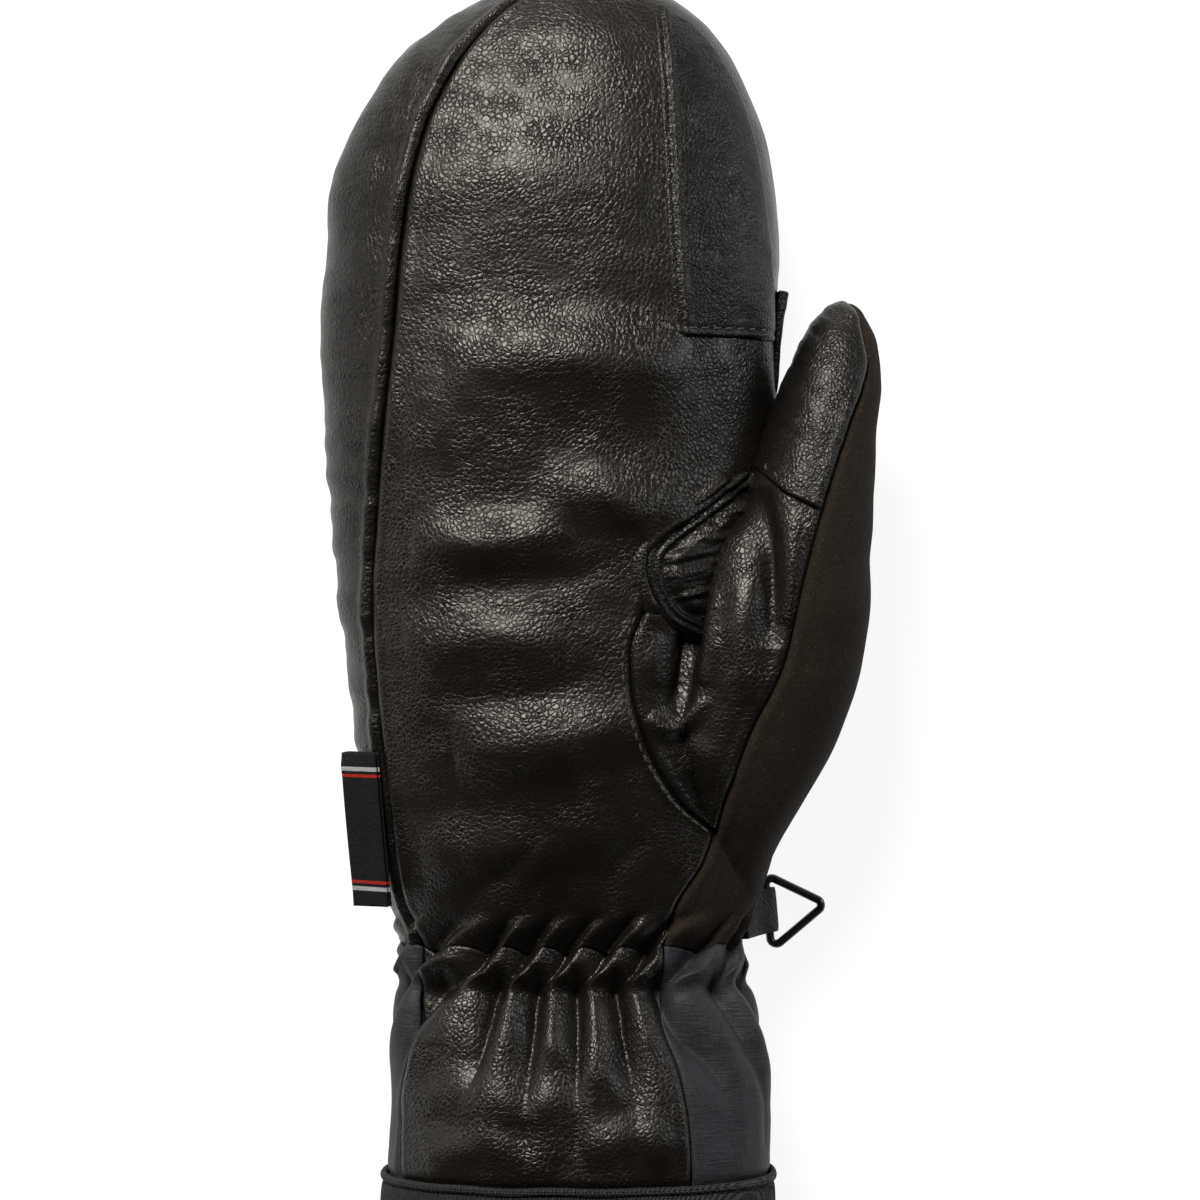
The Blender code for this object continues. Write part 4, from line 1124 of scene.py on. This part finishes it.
def build_loop():
    """The leather tab that holds the ring: one strip folded round the wire and sewn flat near its root."""
    bar = np.array((*unit(RING_CORNERS[1] - RING_CORNERS[0]), 0.0))
    across = np.array((-bar[1], bar[0], 0.0))
    middle = np.array(((RING_CORNERS[0, 0] + RING_CORNERS[1, 0]) / 2, LOOP_ROOT[1], RING_WIRE))
    reach = middle - LOOP_ROOT
    run, drop = float(reach @ across), float(reach[2])
    slope, length = math.atan2(drop, run), math.hypot(run, drop)
    hole = RING_WIRE + 0.32 * MM
    outer = hole + LOOP_LEATHER_THICKNESS
    share = np.linspace(-0.10, 1.0, 14)
    swell = 0.9 * MM + (outer - 0.9 * MM) * ramp(share, 0.35, 1.0)
    turn = np.linspace(math.pi / 2, -math.pi / 2, 12)
    flat = share * length
    along = np.concatenate((flat[:-1], length + outer * np.cos(turn), flat[-2::-1]))
    out = np.concatenate((swell[:-1], outer * np.sin(turn), -swell[-2::-1]))
    far = along > length
    inner_along = np.where(far, length + (along - length) * hole / outer, along)
    thinned = np.sign(out) * np.maximum(np.abs(out) - LOOP_LEATHER_THICKNESS, 0.04 * MM)
    inner_out = np.where(far, out * hole / outer, thinned)
    ahead = across * math.cos(slope) + UP * math.sin(slope)
    square = UP * math.cos(slope) - across * math.sin(slope)
    strips = {"outer": [], "inner": []}
    for w in np.linspace(-1, 1, 26):
        half = LOOP_HALF_WIDTH * (1 - 0.03 * abs(w))
        middle_line = LOOP_ROOT + UP * 0.35 * MM * (1 - w * w) + bar * w * half
        thick = out * (0.75 + 0.25 * (1 - 0.45 * abs(w) ** 7))
        for name, a, o in (("outer", along, thick), ("inner", inner_along, inner_out)):
            strips[name].append(middle_line + a[:, None] * ahead + o[:, None] * square)
    return sheet_between("ring_loop_leather", np.array(strips["outer"]), np.array(strips["inner"]))


LABEL_TOP = np.array((-0.0530, -0.0360, 0.0440))
LABEL_BOTTOM = np.array((-0.0500, -0.0725, 0.0415))
LABEL_WIDTH = 0.0105
LABEL_DROOP = math.radians(38)


def build_label():
    """A folded woven label, open at both ends, with a soft bow along its length."""
    line = LABEL_BOTTOM - LABEL_TOP
    length = np.linalg.norm(line)
    along = line / length
    outward = np.array((-math.cos(LABEL_DROOP), 0, -math.sin(LABEL_DROOP)))
    outward = unit(outward - along * (outward @ along))
    up = np.cross(along, outward)
    up = up * np.sign(up[2])
    leaf = np.linspace(0, 1, 16)
    share = np.concatenate((leaf, np.full(8, 1.0), leaf[::-1]))[:, None]
    turn = np.concatenate((np.full(16, 0.0), np.linspace(0, math.pi, 8), np.full(16, math.pi)))
    lift, edge = np.cos(turn)[:, None], np.sin(turn)[:, None]
    outer, inner = [], []
    for t in np.linspace(0, 1, 60):
        spread = 0.35 + 0.9 * (1 - ramp(t, 0.0, 0.16)) + 0.35 * ramp(t, 0.9, 1.0)
        bow = 0.5 * MM * math.sin(math.pi * t * 1.1) - 0.9 * MM * float(1 - ramp(t, 0, 0.10))
        wide = LABEL_WIDTH * (1.0 - 0.03 * math.sin(math.pi * t))
        thick = (0.75 + spread * 0.55 * share) * MM
        aside = share * wide + edge * 0.7 * MM - 0.4 * MM
        row = LABEL_TOP + along * t * length + outward * aside + up * (thick * lift + bow * share)
        outer.append(row)
        inner.append(row - (up * lift + outward * edge) * 0.45 * MM)
    return sheet_between("side_label_woven", np.array(outer), np.array(inner))


# ---------------------------------------------------------------- materials

class Look:
    """A Principled material and short calls to wire its nodes."""

    def __init__(self, name):
        self.material = bpy.data.materials.new(name)
        self.material.use_nodes = True
        self.tree = self.material.node_tree
        self.shader = self.tree.nodes["Principled BSDF"]
        self.place = self.node("ShaderNodeAttribute", attribute_name="rest").outputs["Vector"]

    def node(self, kind, inputs=None, **settings):
        made = self.tree.nodes.new(kind)
        for key, value in settings.items():
            setattr(made, key, value)
        for key, value in (inputs or {}).items():
            self.feed(made.inputs[key], value)
        return made

    def feed(self, socket, value):
        if isinstance(value, bpy.types.NodeSocket):
            self.tree.links.new(value, socket)
        else:
            socket.default_value = value

    def maths(self, operation, a, b=0.0, c=0.0):
        return self.node("ShaderNodeMath", {0: a, 1: b, 2: c}, operation=operation).outputs[0]

    def scaled(self, factors):
        """The resting place stretched by a factor along each axis."""
        made = self.node("ShaderNodeVectorMath", {0: self.place, 1: factors}, operation="MULTIPLY")
        return made.outputs[0]

    def noise(self, scale, detail=2.0, roughness=0.5, where=None):
        made = self.node("ShaderNodeTexNoise", {
            "Vector": where or self.place, "Scale": scale, "Detail": detail, "Roughness": roughness})
        return made.outputs["Fac"]

    def span(self, value, low, high, to_low=0.0, to_high=1.0):
        made = self.node("ShaderNodeMapRange", {
            "Value": value, "From Min": low, "From Max": high, "To Min": to_low, "To Max": to_high})
        return made.outputs["Result"]

    def colours(self, value, stops):
        made = self.node("ShaderNodeValToRGB", {"Fac": value})
        ramp_stops = made.color_ramp.elements
        while len(ramp_stops) < len(stops):
            ramp_stops.new(0.5)
        for stop, (place, colour) in zip(ramp_stops, stops):
            stop.position = place
            stop.color = (*colour, 1.0)
        return made.outputs["Color"]

    def bump(self, height, distance, strength=1.0, under=None):
        inputs = {"Height": height, "Distance": distance, "Strength": strength}
        if under is not None:
            inputs["Normal"] = under
        return self.node("ShaderNodeBump", inputs).outputs["Normal"]

    def finish(self, colour, roughness, normal, **constants):
        self.feed(self.shader.inputs["Base Color"], colour)
        self.feed(self.shader.inputs["Roughness"], roughness)
        self.feed(self.shader.inputs["Normal"], normal)
        for name, value in constants.items():
            self.shader.inputs[name.replace("_", " ")].default_value = value
        return self.material


def leather_look(name, grain, dark, light, rough, depth, wrinkle=0.3, gloss=0.42, stretch=(1.0, 1.0, 1.0)):
    """Full-grain leather: pebbles about grain metres across with creases between them and soft wrinkles. Its
    colour is a random tone plus painted shade in the creases between the pebbles.
    """
    look = Look(name)
    warp = look.node("ShaderNodeTexNoise", {"Vector": look.place, "Scale": 0.45 / grain, "Detail": 2.0})
    bent = look.node("ShaderNodeVectorMath", {0: warp.outputs["Color"], 1: (0.5, 0.5, 0.5)},
                     operation="SUBTRACT")
    moved = look.node("ShaderNodeVectorMath", {0: bent.outputs[0], 1: (grain * 0.9,) * 3, 2: look.place},
                      operation="MULTIPLY_ADD")
    where = look.node("ShaderNodeVectorMath", {0: moved.outputs[0], 1: stretch}, operation="MULTIPLY")
    cells = look.node("ShaderNodeTexVoronoi", {"Vector": where.outputs[0], "Scale": 1 / grain},
                      feature="DISTANCE_TO_EDGE")
    pebble = look.maths("POWER", look.span(cells.outputs["Distance"], 0.0, 0.40), 0.62)
    uneven = look.span(look.noise(0.16 / grain, 2.0), 0.35, 0.65, 0.35, 1.0)
    creases = look.noise(210.0, 4.0, 0.58, look.scaled((0.6, 1.5, 0.8)))
    height = look.maths("MULTIPLY_ADD", creases, wrinkle * 4.0, look.maths("MULTIPLY", pebble, uneven))
    tone = look.noise(38.0, 3.0)
    # Painted shade: the colour darkens from each pebble's dome into the creases around it, on top of a random
    # tone.
    mix = look.maths("MULTIPLY_ADD", pebble, 0.45, look.maths("MULTIPLY", tone, 0.65))
    colour = look.colours(mix, ((0.25, dark), (0.85, light)))
    shine = look.maths("MULTIPLY_ADD", look.noise(60.0, 3.0), 0.16, rough - 0.05)
    shine = look.maths("MULTIPLY_ADD", pebble, -0.06, shine)
    return look.finish(colour, shine, look.bump(height, depth), Specular_IOR_Level=gloss)


def softshell_look():
    """A smooth brushed knit: fine loops, dull, with scattered paler fibres."""
    look = Look("softshell_cloth")
    loops = look.noise(2200.0, 2.0, 0.7)
    clumps = look.noise(800.0, 3.0, 0.6)
    speckle = look.span(look.noise(1900.0, 1.0), 0.58, 0.74)
    mix = look.maths("MULTIPLY_ADD", speckle, 0.55, look.maths("MULTIPLY", clumps, 0.5))
    colour = look.colours(mix, ((0.15, (0.0140, 0.0112, 0.0088)), (0.50, (0.0240, 0.0192, 0.0150)),
                                (1.0, (0.056, 0.0460, 0.0370))))
    height = look.maths("MULTIPLY_ADD", clumps, 0.8, loops)
    return look.finish(colour, 0.92, look.bump(height, 0.00018), Specular_IOR_Level=0.12)


def nylon_look():
    """A tight plain weave of fine yarns, slate blue, with soft marks where it has been folded."""
    look = Look("cuff_nylon_weave")
    warp = look.noise(1900.0, 1.0, 0.5, look.scaled((1.0, 0.16, 1.0)))
    weft = look.noise(1900.0, 1.0, 0.5, look.scaled((0.16, 1.0, 0.16)))
    weave = look.maths("ADD", warp, weft)
    marks = look.noise(75.0, 4.0, 0.6)
    mix = look.maths("MULTIPLY_ADD", weave, 0.45, look.maths("MULTIPLY", marks, 0.55))
    colour = look.colours(mix, ((0.40, (0.0080, 0.0086, 0.0112)), (0.90, (0.0230, 0.0245, 0.0310))))
    height = look.maths("MULTIPLY_ADD", look.noise(240.0, 3.0), 2.0, weave)
    return look.finish(colour, 0.62, look.bump(height, 0.00014), Specular_IOR_Level=0.30)


def knit_look(name, dark, light, rough=0.85, pitch=0.00075):
    """A ribbed knit: narrow ribs along the glove's length, crossed by rows of stitches, with painted shade in
    the hollows between the ribs.
    """
    look = Look(name)
    turned = look.node("ShaderNodeSeparateXYZ", {0: look.place})
    x, y, z = (turned.outputs[n] for n in ("X", "Y", "Z"))
    ribs = look.maths("SINE", look.maths("MULTIPLY", look.maths("ADD", x, z), 2 * math.pi / pitch))
    rows = look.maths("SINE", look.maths("MULTIPLY", y, 2 * math.pi / (pitch * 0.7)))
    fuzz = look.noise(2200.0, 3.0, 0.7)
    height = look.maths("MULTIPLY_ADD", rows, 0.3, look.maths("MULTIPLY_ADD", fuzz, 1.4, ribs))
    # Painted shade: the colour darkens into the hollows between the ribs, over a random fuzz.
    mix = look.maths("MULTIPLY_ADD", ribs, 0.18, fuzz)
    colour = look.colours(mix, ((0.25, dark), (0.75, light)))
    return look.finish(colour, rough, look.bump(height, 0.00022), Specular_IOR_Level=0.2)


def fleece_look():
    look = Look("fleece_pile")
    curls = look.noise(620.0, 4.0, 0.72)
    tufts = look.noise(150.0, 2.0)
    colour = look.colours(curls, ((0.3, (0.016, 0.016, 0.018)), (0.75, (0.060, 0.060, 0.066))))
    height = look.maths("MULTIPLY_ADD", tufts, 1.2, curls)
    return look.finish(colour, 0.95, look.bump(height, 0.0009), Sheen_Weight=0.35, Sheen_Roughness=0.6)


def metal_look():
    """Steel wire with a dark coating that is worn a little along its length."""
    look = Look("ring_coated_wire")
    worn = look.noise(420.0, 4.0, 0.65)
    scratches = look.noise(1800.0, 2.0, 0.6, look.scaled((1.0, 0.3, 1.0)))
    mix = look.maths("MULTIPLY_ADD", scratches, 0.35, worn)
    colour = look.colours(mix, ((0.45, (0.014, 0.015, 0.017)), (0.90, (0.060, 0.063, 0.068))))
    shine = look.span(mix, 0.4, 1.0, 0.22, 0.42)
    return look.finish(colour, shine, look.bump(scratches, 0.00003), Metallic=0.35, Coat_Weight=0.5,
                       Coat_Roughness=0.12)


def thread_look():
    look = Look("sewing_thread")
    twist = look.noise(3200.0, 1.0)
    colour = look.colours(twist, ((0.3, (0.010, 0.009, 0.008)), (0.8, (0.034, 0.031, 0.028))))
    return look.finish(colour, 0.6, look.bump(twist, 0.00010), Sheen_Weight=0.2)


def label_look():
    """Black damask weave with plain woven bars and a thin red border, and nothing written on it."""
    look = Look("label_weave")
    y = look.node("ShaderNodeSeparateXYZ", {0: look.place}).outputs["Y"]
    yarn = look.noise(1500.0, 1.0, 0.5, look.scaled((0.5, 1.0, 0.5)))
    fuzz = look.noise(2400.0, 2.0, 0.7)
    ground = look.colours(look.maths("MULTIPLY_ADD", yarn, 0.5, look.maths("MULTIPLY", fuzz, 0.5)),
                          ((0.3, (0.0030, 0.0030, 0.0036)), (0.8, (0.0150, 0.0150, 0.0170))))
    pale = look.colours(fuzz, ((0.2, (0.22, 0.23, 0.25)), (0.8, (0.42, 0.44, 0.46))))
    red = look.colours(fuzz, ((0.2, (0.22, 0.010, 0.008)), (0.8, (0.40, 0.024, 0.018))))
    shown = ground
    stripes = ((pale, 0.00050, (-0.0400, -0.0685)), (red, 0.00035, (-0.0416, -0.0669)))
    for colour, half_width, centres in stripes:
        bars = 0.0
        for centre in centres:
            far = look.maths("ABSOLUTE", look.maths("SUBTRACT", y, centre))
            bars = look.maths("ADD", look.maths("LESS_THAN", far, half_width), bars)
        mixed = look.node("ShaderNodeMix", {"Factor": bars}, data_type="RGBA")
        look.feed(mixed.inputs[6], shown)
        look.feed(mixed.inputs[7], colour)
        shown = mixed.outputs[2]
    return look.finish(shown, 0.75, look.bump(yarn, 0.00016), Specular_IOR_Level=0.12)


def floor_look():
    look = Look("studio_white")
    look.shader.inputs["Base Color"].default_value = (0.20, 0.20, 0.20, 1.0)
    look.shader.inputs["Roughness"].default_value = 0.9
    look.shader.inputs["Specular IOR Level"].default_value = 0.0
    look.shader.inputs["Emission Color"].default_value = (1.0, 1.0, 1.0, 1.0)
    look.shader.inputs["Emission Strength"].default_value = 0.90
    return look.material


def dress(obj, material):
    obj.data.materials.clear()
    obj.data.materials.append(material)


# ---------------------------------------------------------------- the mitten

FINGER_BEND = ("hand", "fingers", (0, 0.010, 0.03), (0, 0.062, 0.03))
THUMB_DIRECTION = np.array((0.75, 0.66, 0.0))
THUMB_BEND = ("hand", "thumb", tuple(THUMB_DIRECTION * 0.026), tuple(THUMB_DIRECTION * 0.062))
WRIST_BEND = ("hand", "cuff", (0, WRIST_Y, 0.03), (0, -0.106, 0.03))

LEATHER = leather_look(
    "palm_leather", 0.00120, (0.0026, 0.0021, 0.0016), (0.0074, 0.0060, 0.0045), 0.37, 0.00015)
SIDE_LEATHER = leather_look(
    "side_leather", 0.00105, (0.0024, 0.0021, 0.0018), (0.0064, 0.0056, 0.0047), 0.38, 0.00014,
    wrinkle=0.9, gloss=0.36, stretch=(1.0, 0.7, 1.0))
PATCH_LEATHER = leather_look(
    "patch_leather", 0.00100, (0.0018, 0.0017, 0.0015), (0.0048, 0.0044, 0.0039), 0.38, 0.00013,
    wrinkle=0.8, gloss=0.34)
# Painted shade: the tab's leather is a darker, less glossy copy of the same leather, darkened to cancel the
# floor's light on the tab.
LOOP_LEATHER_PAINTED_SHADE = leather_look(
    "loop_leather", 0.00110, (0.0014, 0.0013, 0.0012), (0.0050, 0.0046, 0.0040), 0.50, 0.00030,
    wrinkle=1.0, gloss=0.20)
SOFTSHELL = softshell_look()
NYLON = nylon_look()
BINDING = knit_look("binding_knit", (0.0130, 0.0135, 0.0150), (0.048, 0.049, 0.053))
OVERLOCK = knit_look("overlock_thread", (0.0110, 0.0115, 0.0130), (0.048, 0.050, 0.054), 0.7, 0.0009)
FLEECE = fleece_look()
THREAD = thread_look()


def place(obj, material, bend=None, body=None, stands_for=()):
    dress(obj, material)
    if bend:
        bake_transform(obj)
    else:
        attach(obj, body)
    if stands_for:
        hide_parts(*stands_for)


def assemble():
    palm, side, back = build_hand_panels()
    thumb_leather, thumb_cloth = build_thumb_panels()
    front, outer, inner, behind = build_cuff_panels()
    band, ridge = build_hem()
    index_patch = build_index_patch(surfaces["palm_skin"])
    thumb_patch = build_thumb_patch(surfaces["thumb_palm_skin"])
    crotch = build_crotch()
    lip = build_crotch_lip()

    place(palm, LEATHER, FINGER_BEND, stands_for=("palm_panel", "palm_batting", "finger_palm_batting"))
    place(side, SIDE_LEATHER, FINGER_BEND, stands_for=("outer_side_panel",))
    place(back, SOFTSHELL, FINGER_BEND, stands_for=("back_panel", "back_batting", "finger_back_batting"))
    place(thumb_leather, LEATHER, THUMB_BEND, stands_for=("thumb_palm_panel", "thumb_batting"))
    place(thumb_cloth, SOFTSHELL, THUMB_BEND, stands_for=("thumb_back_panel",))

    elastics = ("upper_wrist_elastic", "lower_wrist_elastic")
    place(front, LEATHER, WRIST_BEND, stands_for=("cuff_palm_panel", *elastics))
    place(outer, NYLON, WRIST_BEND, stands_for=("cuff_outer_side_panel",))
    place(inner, NYLON, WRIST_BEND, stands_for=("cuff_thumb_side_panel",))
    place(behind, NYLON, WRIST_BEND, stands_for=("cuff_back_panel",))
    place(band, BINDING, body="cuff", stands_for=("hem_band",))
    place(ridge, OVERLOCK, body="cuff", stands_for=("hem_piping",))
    place(build_cuff_lining(), FLEECE, WRIST_BEND, stands_for=("cuff_lining",))
    hand_bag = bag("fleece_lining_hand", HAND_SECTIONS, TIP_Y, (0.053, 0.0285), -0.0800)
    place(hand_bag, FLEECE, FINGER_BEND, stands_for=("fleece_lining", "waterproof_insert"))
    thumb_bag = bag("fleece_lining_thumb", THUMB_SECTIONS, THUMB_TIP_Y, (0.0185, 0.0215), 0.0)
    place(thumb_bag, FLEECE, THUMB_BEND)

    place(index_patch, PATCH_LEATHER, FINGER_BEND, stands_for=("index_patch",))
    place(build_welt(), PATCH_LEATHER, FINGER_BEND, stands_for=("index_side_welt",))
    place(thumb_patch, PATCH_LEATHER, THUMB_BEND, stands_for=("thumb_tip_patch",))
    place(crotch, PATCH_LEATHER, THUMB_BEND, stands_for=("thumb_crotch_patch",))
    place(lip, LEATHER, THUMB_BEND, stands_for=("thumb_crotch_piping",))
    place(build_ring(), metal_look(), body="ring", stands_for=("clip_ring",))
    place(build_loop(), LOOP_LEATHER_PAINTED_SHADE, body="ring_tab", stands_for=("ring_loop",))
    place(build_label(), label_look(), body="label", stands_for=("side_label",))

    ground = Ground([palm, side, thumb_leather, thumb_cloth, index_patch, thumb_patch])
    left = smooth_line(INDEX_PATCH_LEFT, 6) + np.array((0.0027, 0))
    left = left[(left[:, 1] > 0.0640) & (left[:, 1] < 0.1385)]
    place(stitch_row("index_patch_stitches_side", ground, left), THREAD, FINGER_BEND)
    low = np.array(((0.0205, INDEX_PATCH_LOW_Y + 0.002), (0.0400, INDEX_PATCH_LOW_Y + 0.0024)))
    place(stitch_row("index_patch_stitches_low", ground, low), THREAD, FINGER_BEND)
    gusset = smooth_line(GUSSET_SEAM, 6) + np.array((-0.0016, 0.0))
    place(stitch_row("gusset_stitches", ground, gusset), THREAD, body="hand")
    tip = smooth_line(THUMB_PATCH_EDGE, 6)[6:] + np.array((0.0008, 0.0020))
    place(stitch_row("thumb_patch_stitches", ground, tip), THREAD, THUMB_BEND)


def studio():
    """A white floor, soft lights round the glove and a camera straight above it."""
    corners = [(x, y, FLOOR_Z) for x, y in ((-3, -3), (3, -3), (3, 3), (-3, 3))]
    floor = mesh_piece("floor", corners, [(0, 1, 2, 3)])
    dress(floor, floor_look())
    for name, place_at, size, power, colour in (
        ("key", (-0.40, 1.05, 1.16), 0.70, 36.0, (1.0, 0.93, 0.84)),
        ("left", (-0.95, 0.10, 0.45), 0.40, 1.2, (1.0, 0.97, 0.93)),
        ("right", (0.90, 0.35, 0.50), 0.40, 2.4, (0.97, 0.98, 1.0)),
    ):
        data = bpy.data.lights.new(name, "AREA")
        data.shape = "DISK"
        data.size = size
        data.energy = power
        data.color = colour
        lamp = bpy.data.objects.new(name, data)
        lamp.location = place_at
        lamp.rotation_euler = (Vector((0, 0, 0.03)) - Vector(place_at)).to_track_quat("-Z", "Y").to_euler()
        bpy.context.scene.collection.objects.link(lamp)
    world = bpy.data.worlds.new("studio")
    world.use_nodes = True
    background = world.node_tree.nodes["Background"]
    background.inputs["Color"].default_value = (0.97, 0.98, 1.0, 1.0)
    background.inputs["Strength"].default_value = 0.04
    bpy.context.scene.world = world
    bpy.context.scene.view_settings.view_transform = "Standard"
    data = bpy.data.cameras.new("camera")
    data.lens = 100
    camera = bpy.data.objects.new("camera", data)
    camera.location = (0, 0, 0.83)
    bpy.context.scene.collection.objects.link(camera)
    bpy.context.scene.camera = camera


assemble()
studio()
